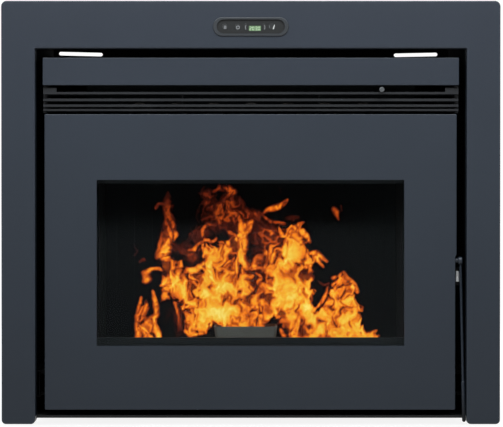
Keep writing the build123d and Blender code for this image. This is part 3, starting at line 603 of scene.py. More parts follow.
# the round pins of the catch and of the door's guide are polished steel, painted near-white as a glint
cat = NODES["catch_bracket"]
cat.data.materials.append(MAT["polish"])
for poly in cat.data.polygons:
    c = cat.matrix_world @ poly.center
    x, u, z = c.x * 1000, c.y * 1000 + U0, c.z * 1000
    guide = x > 330 and 228.1 < z < 244.9 and math.hypot(x - 333.5, u - 31) < 3.2
    hook = math.hypot(u - 32, z - 264) < 3.15 and 300 < x < 322
    if guide or hook:
        poly.material_index = 1

# the floor of the panel's recess gets a darker plastic: painted shade in the recess
bez = NODES["control_bezel"]
bez.data.materials.append(MAT["recess"])
for poly in bez.data.polygons:
    c = bez.matrix_world @ poly.center
    x, u, z = c.x * 1000, c.y * 1000 + U0, c.z * 1000 - 637.8
    if -1.2 < u < 0.8 and math.hypot(max(abs(x) - 43.2, 0.0), z) < 11.35:
        poly.material_index = 1

# the lower end of the lever carries a dark sleeve
lev = NODES["handle_lever"]
lev.data.materials.append(MAT["sleeve"])
for poly in lev.data.polygons:
    c = lev.matrix_world @ poly.center
    if c.z * 1000 < 46:
        poly.material_index = 1

# the inner faces of the casing get a darker, duller black: painted shade in the gaps between the casing and the
# body
cas = NODES["casing_panels"]
cas.data.materials.append(MAT["inside"])
for poly in cas.data.polygons:
    c = cas.matrix_world @ poly.center
    nx = (cas.matrix_world.to_3x3() @ poly.normal).x
    nz = (cas.matrix_world.to_3x3() @ poly.normal).z
    if (abs(abs(c.x) * 1000 - 350) < 0.3 and nx * c.x < 0) or (abs(c.z * 1000 - 630) < 0.3 and nz < -0.5):
        poly.material_index = 1


# =====================================================================
# mesh helpers
# =====================================================================
def piece(name, verts, faces, mat, body, smooth=False):
    me = bpy.data.meshes.new(name)
    me.from_pydata([tuple(v) for v in verts], [], [tuple(f) for f in faces])
    me.validate()
    me.update()
    if smooth:
        me.polygons.foreach_set("use_smooth", [True] * len(me.polygons))
    o = bpy.data.objects.new(name, me)
    scene.collection.objects.link(o)
    me.materials.append(mat)
    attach(o, body)
    return o


class Build:
    """Collects closed shapes into one mesh."""

    def __init__(self):
        self.v, self.f = [], []

    def add(self, verts, faces):
        k = len(self.v)
        self.v += [tuple(p) for p in verts]
        self.f += [tuple(i + k for i in f) for f in faces]

    def rings(self, rings, cap0=True, cap1=True):
        """Closed skin through rings of equal length."""
        n = len(rings[0])
        verts = [p for r in rings for p in r]
        faces = []
        for a in range(len(rings) - 1):
            for i in range(n):
                j = (i + 1) % n
                faces.append((a * n + i, a * n + j, (a + 1) * n + j, (a + 1) * n + i))
        if cap0:
            faces.append(tuple(range(n - 1, -1, -1)))
        if cap1:
            b = (len(rings) - 1) * n
            faces.append(tuple(b + i for i in range(n)))
        self.add(verts, faces)

    def lathe(self, centre, axis, profile, seg=18, close=True):
        """profile: (distance along the axis, radius) pairs, from one end to the other."""
        ax = Vector(axis).normalized()
        s = ax.orthogonal().normalized()
        w = ax.cross(s)
        c = Vector(centre)
        rings = []
        for d, r in profile:
            rings.append([c + ax * d + s * (r * math.cos(2 * math.pi * i / seg)) + w * (r * math.sin(2 * math.pi * i / seg)) for i in range(seg)])
        self.rings(rings, close, close)

    def plate_xz(self, outline, u_front, u_back, ch=0.0):
        """Outline in x and z (mm), front face towards -Y, with a small chamfer ch on the front edge."""
        n = len(outline)
        cx = sum(p[0] for p in outline) / n
        cz = sum(p[1] for p in outline) / n

        def ring(k, u):
            out = []
            for i, (x, z) in enumerate(outline):
                if k:
                    (x0, z0), (x2, z2) = outline[i - 1], outline[(i + 1) % n]
                    d1 = Vector((x - x0, z - z0)).normalized()
                    d2 = Vector((x2 - x, z2 - z)).normalized()
                    nn = Vector((-(d1 + d2).y, (d1 + d2).x))
                    if nn.length > 1e-6:
                        nn.normalize()
                        x, z = x + nn.x * k, z + nn.y * k
                out.append(P(x, u, z))
            return out
        area = sum(outline[i - 1][0] * outline[i][1] - outline[i][0] * outline[i - 1][1] for i in range(n))
        s = 1 if area > 0 else -1
        rings = [ring(s * ch, u_front)] if ch else []
        rings += [ring(0, u_front + ch), ring(0, u_back)]
        if s < 0:
            rings = [r[::-1] for r in rings]
        self.rings(rings)

    def make(self, name, mat, body, smooth=False):
        o = piece(name, self.v, self.f, mat, body, smooth)
        bm = bmesh.new()
        bm.from_mesh(o.data)
        bmesh.ops.recalc_face_normals(bm, faces=bm.faces)
        bm.to_mesh(o.data)
        bm.free()
        return o


def mmv(p):
    return Vector(P(*p))


# =====================================================================
# fire: closed, lens-like sheets of flame standing behind one another
# =====================================================================
def perlin(x, y, seed):
    xi = np.floor(x).astype(np.int64)
    yi = np.floor(y).astype(np.int64)
    xf = x - xi
    yf = y - yi

    def hsh(i, j):
        n = (i * 374761393 + j * 668265263 + seed * 1442695041) & 0xFFFFFFFF
        n = ((n ^ (n >> 13)) * 1274126177) & 0xFFFFFFFF
        n = n ^ (n >> 16)
        return (n & 0xFFFF) / 65536.0 * 2 * np.pi

    def g(i, j, dx, dy):
        a = hsh(i, j)
        return np.cos(a) * dx + np.sin(a) * dy

    u = xf * xf * xf * (xf * (xf * 6 - 15) + 10)
    v = yf * yf * yf * (yf * (yf * 6 - 15) + 10)
    n00 = g(xi, yi, xf, yf)
    n10 = g(xi + 1, yi, xf - 1, yf)
    n01 = g(xi, yi + 1, xf, yf - 1)
    n11 = g(xi + 1, yi + 1, xf - 1, yf - 1)
    return 1.5 * ((n00 * (1 - u) + n10 * u) * (1 - v) + (n01 * (1 - u) + n11 * u) * v)


def fbm(x, y, seed, octaves=3, gain=0.5, lac=2.03):
    s, a, tot = 0.0, 1.0, 0.0
    for k in range(octaves):
        s = s + a * perlin(x, y, seed + 17 * k)
        tot += a
        x = x * lac + 3.7
        y = y * lac - 1.3
        a *= gain
    return s / tot


def ridge(n, w):
    return np.exp(-(n / w) ** 2)


# The fire is drawn as seen from the front, on a grid of 1.603 mm: x to the
# right, y downwards. BODY and SIDE are outlines, GLOW brighter and darker
# places in them, STROKES single tongues and curls, HAZE faint smoky glow.
FIRE_BODY = [(160, 303), (158, 292), (159, 284), (160, 274), (156, 263), (157, 256), (160, 248), (162, 240), (166, 235), (173, 234), (171, 246), (171, 256), (178, 257), (184, 258),
        (186, 264), (190, 266), (197, 266), (202, 262), (201, 255), (196, 251), (199, 245), (205, 242), (213, 244), (218, 239), (226, 238), (230, 233), (236, 233), (238, 226),
        (239, 219), (244, 222), (253, 221), (250, 230), (248, 240), (249, 250), (251, 258), (256, 262), (262, 261), (261, 252), (265, 247), (265, 240), (263, 232), (266, 226),
        (274, 225), (285, 224), (291, 223), (297, 224), (304, 223), (304, 230), (309, 236), (311, 244), (308, 247), (312, 253), (320, 252), (327, 260), (321, 264), (316, 262),
        (317, 270), (317, 276), (314, 284), (318, 292), (317, 297), (313, 300), (318, 307), (323, 302), (326, 293), (329, 284), (334, 277), (341, 274), (345, 272), (350, 278),
        (357, 284), (358, 296), (361, 303), (366, 310), (362, 314), (365, 324), (369, 331), (378, 330), (382, 338), (382, 350), (290, 350), (284, 338), (279, 330), (273, 320),
        (270, 325), (262, 334), (222, 334), (214, 326), (211, 331), (203, 336), (190, 337.5), (184, 334), (182, 327), (183, 318), (178, 308), (173, 301), (166, 302)]
FIRE_SIDE = [(136, 350), (135, 328), (137, 319), (138, 311), (140, 304), (141, 297), (143, 302), (146, 301), (148, 308), (150, 315), (152, 312), (153, 303), (153, 291), (156, 296),
        (158, 302), (160, 303), (160, 312), (159, 320), (160, 330), (161, 350)]
GLOW = [(210, 260, 8, 7, .36), (222, 284, 10, 10, .42), (207, 296, 7, 8, .28), (213, 313, 11, 9, .50), (229, 311, 10, 9, .38), (203, 325, 6, 6, .30), (290, 252, 7, 9, .34),
        (286, 290, 12, 12, .40), (309, 309, 5, 12, .52), (290, 312, 10, 8, .12), (342, 320, 8, 6, .34), (352, 308, 7, 7, .20), (357, 330, 9, 7, .32), (323, 328, 6, 5, .25),
        (183, 292, 5, 8, .26), (170, 299, 6, 4, .28), (163, 287, 4, 8, .16), (193, 329, 7, 4, .10), (340, 300, 8, 10, .10),
        (255, 280, 10, 15, -.22), (238, 262, 8, 8, -.14), (196, 283, 7, 9, -.30), (165, 265, 9, 9, -.20), (300, 330, 12, 6, -.10), (283, 328, 6, 8, -.20), (262, 295, 6, 10, -.10),
        (244, 300, 8, 10, -.10), (268, 318, 6, 6, -.16), (251, 315, 7, 5, -.34), (276, 238, 7.5, 11, -.44), (184, 270, 2.6, 2.8, -.6), (303, 255, 3, 6, -.22), (305, 271, 3, 6, -.22),
        (322, 313, 3, 7, -.16), (264, 240, 5, 12, -.25), (179, 264, 5, 5, -.12), (245, 232, 6, 8, -.06), (222, 246, 6, 5, -.05), (235, 245, 5, 6, -.14), (181, 306, 3, 6, -.25)]
STROKES = [
    [(168, 192, 1.2, .20), (169, 202, 2.2, .28), (168, 211, 2.2, .36), (171, 218, 2.0, .60), (174, 226, 1.8, .66), (176, 236, 1.6, .56), (173, 240, 1.5, .4)],
    [(166, 222, 1.6, .50), (169, 229, 2.0, .66), (171, 236, 2.2, .74), (167, 242, 2.4, .78), (163, 248, 2.4, .70), (160, 256, 2.2, .60)],
    [(163, 232, 1.4, .32), (161, 241, 1.8, .42), (158, 250, 1.8, .46), (157, 258, 1.8, .44)],
    [(166, 250, 1.5, .48), (165, 257, 1.8, .52), (168, 263, 1.8, .56)],
    [(157, 208, 1.6, .42), (159, 204, 1.6, .36), (165, 205, 2.2, .26)],
    [(143, 281, 1.8, .5), (147, 280, 3.0, .78), (146, 273, 3.0, .74), (151, 269, 2.0, .6), (158, 269, 1.7, .5), (162, 270, 1.6, .5)],
    [(141, 297, 1.2, .5), (140, 304, 1.6, .75), (139, 311, 2.2, .85), (137, 319, 2.0, .6), (136, 327, 1.9, .6), (138, 335, 2.4, .85), (138, 345, 2.4, .6)],
    [(146, 301, 1.2, .45), (146, 308, 2.4, .75), (144, 314, 2.6, .65), (141, 320, 2.2, .45)],
    [(153, 291, 1.3, .55), (154, 298, 1.9, .75), (156, 306, 2.3, .88), (157, 314, 2.3, .8), (153, 319, 2.4, .7), (155, 325, 2.2, .7), (158, 332, 2.4, .9), (158, 345, 2.2, .7)],
    [(150, 321, 2.0, .6), (146, 323, 1.6, .5), (143, 328, 1.7, .5), (145, 336, 2.0, .66), (146, 345, 2.0, .5)],
    [(174, 302, 1.6, .55), (177, 310, 1.4, .52), (179, 318, 1.4, .42), (178, 328, 1.2, .28)],
    [(134, 244, 1.3, .13), (137, 251, 1.7, .17), (133, 258, 1.7, .12)],
    [(140, 262, 1.5, .20), (144, 260, 1.7, .27)],
    [(205, 196, 2.4, .12), (213, 191, 2.6, .2), (221, 188, 2.8, .26), (229, 189, 3.2, .36), (233, 192, 3.4, .47), (228, 196, 2.4, .36)],
    [(201, 221, 1.3, .20), (208, 217, 1.4, .30), (215, 215, 1.4, .38), (217, 221, 1.4, .32), (220, 226, 1.2, .22)],
    [(214, 207, 1.7, .16), (222, 211, 2.0, .32), (230, 215, 1.8, .36), (235, 221, 1.5, .30), (233, 227, 1.4, .2)],
    [(217, 238, 1.5, .42), (212, 242, 1.6, .5), (205, 240, 1.6, .46), (202, 234, 1.6, .48), (203, 228, 1.6, .48), (208, 224, 1.5, .42), (213, 226, 1.3, .32)],
    [(200, 226, 1.4, .26), (195, 231, 1.5, .26), (191, 238, 1.6, .22)],
    [(190, 234, 1.3, .30), (189, 238, 1.2, .2)],
    [(181, 252, 2.0, .30), (183, 246, 1.6, .2)],
    [(189, 250, 1.4, .4), (194, 250, 1.7, .56), (197, 245, 1.8, .46), (203, 242, 2.0, .5)],
    [(186, 271, 2.0, .6), (190, 270, 2.4, .82), (196, 269, 2.4, .8), (201, 266, 1.9, .7), (206, 262, 1.8, .7)],
    [(192, 276, 1.3, .5), (194, 283, 1.5, .6), (197, 287, 1.2, .55)],
    [(238, 215, 1.3, .3), (240, 221, 2.2, .5), (244, 224, 2.4, .6), (252, 221, 2.0, .58), (250, 228, 2.2, .6), (248, 234, 1.5, .45)],
    [(241, 226, 3.6, .6), (243, 236, 4.6, .64), (243, 246, 4.6, .6)],
    [(229, 232, 1.8, .42), (234, 236, 2.2, .5)],
    [(261, 213, 1.4, .22), (265, 217, 1.4, .36), (271, 222, 1.4, .5), (278, 223, 1.6, .46), (284, 224, 1.8, .55)],
    [(294, 227, 1.8, .66), (298, 225, 1.7, .6), (303, 223, 1.4, .5)],
    [(302, 231, 2.2, .78), (307, 236, 2.2, .76), (310, 242, 1.4, .5)],
    [(311, 253, 2.0, .76), (317, 253, 2.0, .86), (322, 257, 1.8, .76), (327, 261, 1.3, .55)],
    [(315, 258, 2.2, .7), (319, 261, 2.0, .7), (323, 267, 1.5, .42)],
    [(264, 213, 1.6, .34), (270, 209, 2.4, .60), (277, 207, 2.8, .66), (283, 204, 2.2, .6), (287, 200, 1.4, .4)],
    [(333, 208, 1.8, .26), (336, 212, 2.6, .42), (338, 219, 1.4, .28)],
    [(341, 206, 1.3, .2), (342, 211, 1.3, .2)],
    [(333, 278, 1.8, .62), (337, 276, 1.5, .5), (344, 272, 1.4, .34), (347, 277, 1.7, .62), (351, 281, 1.8, .72), (356, 285, 1.5, .6), (357, 292, 1.5, .7)],
    [(328, 287, 1.3, .36), (325, 296, 1.4, .7), (322, 303, 1.5, .76), (318, 307, 1.4, .6)],
    [(366, 335, 2.0, .8), (371, 333, 1.6, .62), (376, 331, 1.4, .6)], [(372, 337, 1.6, .6), (379, 336, 1.3, .4)],
    [(318, 281, 1.2, .16), (323, 286, 1.5, .24), (328, 284, 1.4, .3)],
    [(281, 330, 1.8, .5), (284, 336, 1.8, .55)], [(186, 331, 1.8, .7), (190, 335, 1.8, .75), (198, 334, 1.6, .6), (206, 332, 1.5, .5)],
]
HAZE = [(168, 206, 5.5, 13, .20), (170, 228, 7.5, 13, .24), (165, 246, 8, 11, .26), (214, 210, 17, 20, .175), (228, 222, 12, 14, .165), (262, 240, 12, 20, .23), (198, 236, 12, 12, .14), (276, 190, 9, 9, .08), (206, 192, 8, 7, .09), (248, 214, 14, 7, .17),
        (170, 318, 8, 18, .10), (180, 322, 5, 18, .18), (315, 205, 5, 13, .045), (256, 264, 10, 9, .27), (193, 258, 9, 7, .20), (184, 250, 9, 9, .13), (276, 238, 9, 12, .20), (292, 218, 10, 5, .13), (235, 200, 12, 9, .14)]


def depth_in(x, y, poly):
    """Distance from the outline, positive inside it."""
    best = np.full(x.shape, 1e9)
    odd = np.zeros(x.shape, bool)
    for (x0, y0), (x1, y1) in zip(poly, poly[1:] + poly[:1]):
        dx, dy = x1 - x0, y1 - y0
        t = np.clip(((x - x0) * dx + (y - y0) * dy) / (dx * dx + dy * dy), 0, 1)
        best = np.minimum(best, (x - x0 - t * dx) ** 2 + (y - y0 - t * dy) ** 2)
        if y0 != y1:
            odd ^= ((y0 > y) != (y1 > y)) & (x < x0 + (y - y0) * dx / dy)
    return np.where(odd, 1, -1) * np.sqrt(best)


def drawn_fire(x, y, seed, level=1.0, shrink=0.0):
    """Heat of the fire at the places x, y of its drawing."""
    w1, w2 = fbm(x / 15.0, y / 17.0, seed, 2), fbm(x / 15.0 + 5, y / 17.0 + 9, seed + 3, 2)
    v1, v2 = fbm(x / 5.4, y / 6.6, seed + 5, 2), fbm(x / 5.4 + 3, y / 6.6 + 7, seed + 7, 2)
    xb, yb = x + 9 * w1 + 2.4 * v1, y + 9 * w2 + 2.8 * v2
    n1 = fbm(xb / 10.0, yb / 14.0, seed + 11, 2)
    n2 = fbm(xb / 4.4, yb / 6.2, seed + 13, 2)
    n3 = perlin(xb / 2.6, yb / 3.6, seed + 15)
    r1 = ridge(fbm(xb / 8.0, yb / 12.0, seed + 17, 2), 0.16)
    r2 = ridge(fbm(xb / 4.6 + 8, yb / 7.4, seed + 19, 2), 0.16)
    k1 = ridge(fbm(xb / 8.5 + 4, yb / 13.0 + 6, seed + 23, 2), 0.12)
    xa, ya = x + 1.5 * w1 + 1.4 * v1, y + 1.5 * w2 + 1.6 * v2
    d = np.maximum(depth_in(xa, ya, FIRE_BODY), depth_in(xa, ya, FIRE_SIDE)) - shrink
    de = d + 2.2 * n2 + 1.3 * n3 + 1.6 * (r1 - 0.4) - 0.3
    env = np.clip(de / 5.5, 0, 1)
    env = env * env * (3 - 2 * env)
    base = 0.562 + 0 * x
    for cx, cy, rx, ry, a in GLOW:
        base = base + a * np.exp(-((xa - cx) / rx) ** 2 - ((ya - cy) / ry) ** 2)
    tex = 0.56 * n1 + 0.27 * n2 + 0.13 * n3 + 0.10 * (r1 - 0.30) + 0.08 * (r2 - 0.30) - 0.13 * k1
    side = np.clip((depth_in(xa, ya, FIRE_SIDE) + 1.5) / 2, 0, 1)
    base = base * (1 - side) + 0.34 * side
    heat = env * np.clip(base + tex * (1.15 - 1.2 * np.clip(base - 0.62, 0, 0.4)), 0.16, 1.3)
    heat = 1.02 * heat ** 1.12
    # separate curls and tongues
    st = np.zeros_like(x)
    xc, yc = x + 1.2 * w1 + 1.1 * v1, y + 1.2 * w2 + 1.1 * v2
    for s in STROKES:
        for (x0, y0, r0, a0), (x1, y1, r1_, a1) in zip(s, s[1:]):
            dx, dy = x1 - x0, y1 - y0
            t = np.clip(((xc - x0) * dx + (yc - y0) * dy) / (dx * dx + dy * dy), 0, 1)
            q = np.sqrt((xc - x0 - t * dx) ** 2 + (yc - y0 - t * dy) ** 2) / (r0 + (r1_ - r0) * t)
            st = np.maximum(st, (a0 + (a1 - a0) * t) * np.exp(-0.62 * q * q))
    st = st * np.clip(0.80 + 0.55 * n2 + 0.28 * (r2 - 0.25) + 0.26 * n3, 0.25, 1.35)
    st = st * (1 - 0.34 * np.exp(-((x - 214) / 21) ** 2 - ((y - 211) / 17) ** 2) - 0.34 * np.exp(-((x - 168) / 11) ** 2 - ((y - 216) / 26) ** 2)
               - 0.30 * np.exp(-((x - 272) / 14) ** 2 - ((y - 232) / 16) ** 2) - 0.16 * np.exp(-((x - 148) / 14) ** 2 - ((y - 318) / 24) ** 2))
    hz = np.zeros_like(x)
    for cx, cy, rx, ry, a in HAZE:
        hz = hz + a * np.exp(-((xa - cx) / rx) ** 2 - ((ya - cy) / ry) ** 2)
    hz = hz * np.clip(0.88 + 0.62 * (r1 - 0.2) + 0.25 * (r2 - 0.2) + 0.7 * n1, 0, 2.0)
    heat = np.sqrt(np.maximum(heat, st) ** 2 + 0.8 * np.minimum(heat, st) ** 2)
    heat = np.maximum(heat, hz)
    return np.clip(heat * level, 0, 1.3)


GRID = MM_PER_PX


def drawn_to_front(gx, gy):
    """Place on the drawing -> x and z in the front plane (mm)."""
    return (gx - 250.8) * GRID, (424.5 - gy) * GRID


def drop_specks(mask, least):
    """Clears groups of fewer than `least` cells."""
    out = mask.copy()
    done = np.zeros(mask.shape, bool)
    nz, nx = mask.shape
    for i, j in zip(*np.nonzero(mask)):
        if done[i, j]:
            continue
        group, todo = [], [(i, j)]
        done[i, j] = True
        while todo:
            a, c = todo.pop()
            group.append((a, c))
            for e, g in ((a - 1, c), (a + 1, c), (a, c - 1), (a, c + 1)):
                if 0 <= e < nz and 0 <= g < nx and mask[e, g] and not done[e, g]:
                    done[e, g] = True
                    todo.append((e, g))
        if len(group) < least:
            for a, c in group:
                out[a, c] = False
    return out


def flame_sheet(name, heat, gx, gy, seed, u_mid, sway, thick, thr=0.085, least=12):
    """A closed sheet whose outline is where heat falls to thr. It stands at depth u_mid and looks from the front as it is drawn."""
    heat[0, :] = heat[-1, :] = 0
    heat[:, 0] = heat[:, -1] = 0
    inside = drop_specks(heat > thr, least)
    heat = np.where(inside, heat, np.minimum(heat, thr * 0.6))
    nz, nx = heat.shape
    X, Y = np.meshgrid(gx, gy)
    um = u_mid + sway * fbm(X / 44.0, Y / 56.0, seed + 101, 2) + 0.08 * (280 - Y) * 0.5
    half = 0.5 * thick * np.sqrt(np.clip((heat - thr) / 0.55, 0, 1))

    def real(x, y, u):
        k = (CAM_D + u) / CAM_D
        xf, zf = drawn_to_front(x, y)
        return (xf * k, u, CAM_H + (zf - CAM_H) * k)

    verts, hv = [], []
    front, back, edge = {}, {}, {}

    def corner(i, j, side):
        store = front if side < 0 else back
        if (i, j) not in store:
            u = um[i, j] + side * max(half[i, j], 0.15)
            store[(i, j)] = len(verts)
            verts.append(P(*real(gx[j], gy[i], u)))
            hv.append(heat[i, j])
        return store[(i, j)]

    def cross(a, b):
        pair = (a, b) if a < b else (b, a)
        if pair not in edge:
            (i0, j0), (i1, j1) = pair
            h0, h1 = heat[i0, j0], heat[i1, j1]
            f = min(max((thr - h0) / (h1 - h0), 0.03), 0.97)
            edge[pair] = len(verts)
            verts.append(P(*real(gx[j0] + (gx[j1] - gx[j0]) * f, gy[i0] + (gy[i1] - gy[i0]) * f, um[i0, j0] + (um[i1, j1] - um[i0, j0]) * f)))
            hv.append(thr)
        return edge[pair]

    faces = []
    for i in range(nz - 1):
        for j in range(nx - 1):
            cs = [(i, j), (i, j + 1), (i + 1, j + 1), (i + 1, j)]
            ins = [bool(inside[c]) for c in cs]
            k = sum(ins)
            if k == 0:
                continue
            if k == 4:
                loops = [[("c", c) for c in cs]]
            elif k == 2 and ins[0] == ins[2]:
                loops = [[("e", (cs[q - 1], cs[q])), ("c", cs[q]), ("e", (cs[q], cs[(q + 1) % 4]))] for q in range(4) if ins[q]]
            else:
                lp = []
                for q in range(4):
                    a, b = cs[q], cs[(q + 1) % 4]
                    if ins[q]:
                        lp.append(("c", a))
                    if ins[q] != ins[(q + 1) % 4]:
                        lp.append(("e", (a, b)))
                loops = [lp]
            for lp in loops:
                faces.append([corner(*c, 1) if kind == "c" else cross(*c) for kind, c in lp])
                faces.append([corner(*c, -1) if kind == "c" else cross(*c) for kind, c in lp][::-1])
    me = bpy.data.meshes.new(name)
    me.from_pydata(verts, [], faces)
    me.update()
    at = me.attributes.new("fire_heat", "FLOAT", "POINT")
    at.data.foreach_set("value", np.array(hv, np.float32))
    me.polygons.foreach_set("use_smooth", [True] * len(me.polygons))
    o = bpy.data.objects.new(name, me)
    scene.collection.objects.link(o)
    me.materials.append(MAT["fire"])
    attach(o, "burn_pot")
    return o


POT_X = -8.5
for name, seed, step, level, shrink, u_mid, sway, thick in (
        ("flames_back", 47, 1.6, 0.42, 3.5, 192.0, 5.0, 9.0),
        ("flames_middle", 26, 1.3, 0.50, 2.0, 166.0, 7.0, 11.0),
        ("flames_front", 12, 1.0, 1.0, 0.0, 138.0, 9.0, 12.0)):
    gx = np.arange(127.0, 390.0, step * 0.8)
    gy = np.arange(180.0, 352.0, step * 0.8)
    X, Y = np.meshgrid(gx, gy)
    h = drawn_fire(X, Y, seed, level, shrink)
    k = (CAM_D + u_mid) / CAM_D
    xf, zf = drawn_to_front(X, Y)
    zr = CAM_H + (zf - CAM_H) * k
    dx = np.abs(xf * k - POT_X)
    floor_z = np.where(dx < 40, 141.0, np.where(dx < 55, 152.5, np.where(dx < 67, 125.5, 120.0)))
    flame_sheet(name, np.where(zr < floor_z, 0.0, h), gx, gy, seed, u_mid, sway, thick)


# =====================================================================
# pellets, embers and ash
# =====================================================================
def pellet_shape(b, c, d, r, length, seg=9):
    ch = r * 0.22
    L = length / 2
    b.lathe(c, d, [(-L, r * 0.35), (-L + ch * 0.3, r - ch), (-L + ch, r), (L - ch, r), (L - ch * 0.3, r - ch), (L, r * 0.35)], seg)


rng = np.random.default_rng(7)
b = Build()
for k in range(95):
    x = POT_X + rng.uniform(-40, 40)
    u = 151 + rng.uniform(-34, 34)
    top = 139 - 5 * (abs(x - POT_X) / 40) ** 2 - 4 * (abs(u - 151) / 34) ** 2
    z = top - rng.uniform(0, 9)
    a, e = rng.uniform(0, 2 * math.pi), rng.uniform(-0.5, 0.5)
    d = (math.cos(a) * math.cos(e), math.sin(a) * math.cos(e), math.sin(e))
    pellet_shape(b, mmv((x, u, z)), d, 0.0031, rng.uniform(0.009, 0.016), 8)
b.make("ember_bed", MAT["ember"], "burn_pot", smooth=True)

b = Build()
rng = np.random.default_rng(21)
for k in range(520):
    x = rng.uniform(-152, 152)
    u = 400 + rng.uniform(-52, 52)
    hill = 548 + 9 * math.cos(x / 70.0) * math.cos((u - 400) / 60.0) + 3 * math.sin(x / 23.0)
    z = hill - rng.uniform(0, 6)
    a, e = rng.uniform(0, 2 * math.pi), rng.uniform(-0.35, 0.35)
    d = (math.cos(a) * math.cos(e), math.sin(a) * math.cos(e), math.sin(e))
    pellet_shape(b, mmv((x, u, z)), d, 0.0030, rng.uniform(0.010, 0.020), 8)
b.make("hopper_pellets", MAT["pellet"], "stove_body", smooth=True)


def heap(name, x0, x1, u0, u1, z_floor, z_fn, mat, body, nx, nu):
    gx = np.linspace(x0, x1, nx)
    gu = np.linspace(u0, u1, nu)
    verts, faces = [], []
    for u in gu:
        for x in gx:
            verts.append(P(x, u, z_fn(x, u)))
    for u in gu:
        for x in gx:
            verts.append(P(x, u, z_floor))
    n = nx * nu
    for i in range(nu - 1):
        for j in range(nx - 1):
            a = i * nx + j
            faces.append((a, a + 1, a + nx + 1, a + nx))
            faces.append((n + a, n + a + nx, n + a + nx + 1, n + a + 1))
    rim = [j for j in range(nx)] + [i * nx + nx - 1 for i in range(1, nu)] + [(nu - 1) * nx + j for j in range(nx - 2, -1, -1)] + [i * nx for i in range(nu - 2, 0, -1)]
    for a, c in zip(rim, rim[1:] + rim[:1]):
        faces.append((c, a, n + a, n + c))
    return piece(name, verts, faces, mat, body, smooth=True)


def ash_z(x, u):
    q = float(fbm(np.array(x / 34.0), np.array(u / 30.0), 401, 3))
    return 59.0 + 9.0 * math.exp(-((x + 8) / 90.0) ** 2 - ((u - 150) / 60.0) ** 2) + 5.0 * q


def hop_z(x, u):
    return 541.0 + 9 * math.cos(x / 70.0) * math.cos((u - 400) / 60.0) + 3 * math.sin(x / 23.0)


heap("pan_ash", -203.0, 203.0, 58.0, 278.0, 49.0, ash_z, MAT["ash"], "ash_pan", 70, 40)
heap("hopper_fill_bed", -162.5, 162.5, 337.5, 462.5, 500.0, hop_z, MAT["pellet"], "stove_body", 60, 26)


# =====================================================================
# control panel: display, digits and key marks
# =====================================================================
BZ = 637.5


def rect(x0, x1, z0, z1):
    return [(x0, z0), (x1, z0), (x1, z1), (x0, z1)]


def rounded(x0, x1, z0, z1, r, n=4):
    pts = []
    for cx, cz, a0 in ((x1 - r, z0 + r, -90), (x1 - r, z1 - r, 0), (x0 + r, z1 - r, 90), (x0 + r, z0 + r, 180)):
        for k in range(n + 1):
            a = math.radians(a0 + 90 * k / n)
            pts.append((cx + r * math.cos(a), cz + r * math.sin(a)))
    return pts


b = Build()
b.plate_xz(rounded(-3.0, 16.2, 630.8, 638.8, 0.6), 1.75, 1.98, 0.05)
b.make("display_backlight", MAT["backlight"], "casing")

SEG = {"a": ((0, 2), (1, 2)), "b": ((1, 2), (1, 1)), "c": ((1, 1), (1, 0)), "d": ((0, 0), (1, 0)), "e": ((0, 1), (0, 0)), "f": ((0, 2), (0, 1)), "g": ((0, 1), (1, 1))}
DIGITS = {"1": "bc", "8": "abcdefg", "3": "abcdg", "0": "abcdef", "2": "abged", "5": "afgcd"}


def digit(b, ch, x0, z0, w, h, t, u0, u1):
    for s in DIGITS[ch]:
        (ax, az), (bx, bz) = SEG[s]
        p = Vector((x0 + ax * w, z0 + az * h / 2))
        q = Vector((x0 + bx * w, z0 + bz * h / 2))
        d = (q - p).normalized()
        n = Vector((-d.y, d.x))
        p, q = p + d * t * 0.35, q - d * t * 0.35
        pts = [p, p + d * t / 2 + n * t / 2, q - d * t / 2 + n * t / 2, q, q - d * t / 2 - n * t / 2, p + d * t / 2 - n * t / 2]
        b.plate_xz([(v.x, v.y) for v in pts], u0, u1)


# box behind the panel, with the grommet of its ribbon cable
b = Build()
cup = [P(x, u, z) for u, k in ((3.2, 0.0), (13.0, 0.0), (13.5, 0.8)) for x, z in rounded(-60.2 + k, 60.2 - k, 622.2 + k, 652.8 - k, 5.0 - k)]
well = [P(x, u, z) for u in (12.0, 3.2) for x, z in rounded(-58.7, 58.7, 623.7, 651.3, 3.6)]
n = len(cup) // 3
b.rings([cup[k * n:(k + 1) * n] for k in range(3)] + [], False, True)
b.rings([well[k * n:(k + 1) * n] for k in range(2)], True, False)
b.f += [(i, (i + 1) % n, 3 * n + n + (i + 1) % n, 3 * n + n + i) for i in range(n)]
b.lathe(mmv((38.0, 13.5, 641.0)), (0, 1, 0), [(-0.0006, 0.0046), (0.0012, 0.0046), (0.0016, 0.0040), (0.0016, 0.0022), (-0.0004, 0.0022)], 20)
b.make("panel_cover", MAT["socket"], "casing")

b = Build()
x = -1.6
for ch in "20":
    digit(b, ch, x, 632.2, 2.3, 5.2, 1.0, 1.5, 1.74)
    x += 4.2
b.plate_xz(rect(6.5, 7.2, 633.2, 633.9), 1.5, 1.74)
b.plate_xz(rect(6.5, 7.2, 635.6, 636.3), 1.5, 1.74)
x += 0.9
for ch in "30":
    digit(b, ch, x, 632.2, 2.3, 5.2, 1.0, 1.5, 1.74)
    x += 4.2
b.make("display_digits", MAT["digit"], "casing")


def arc_band(cx, cz, r0, r1, a0, a1, n=14):
    pts = [(cx + r1 * math.cos(math.radians(a0 + (a1 - a0) * k / n)), cz + r1 * math.sin(math.radians(a0 + (a1 - a0) * k / n))) for k in range(n + 1)]
    pts += [(cx + r0 * math.cos(math.radians(a1 + (a0 - a1) * k / n)), cz + r0 * math.sin(math.radians(a1 + (a0 - a1) * k / n))) for k in range(n + 1)]
    return pts


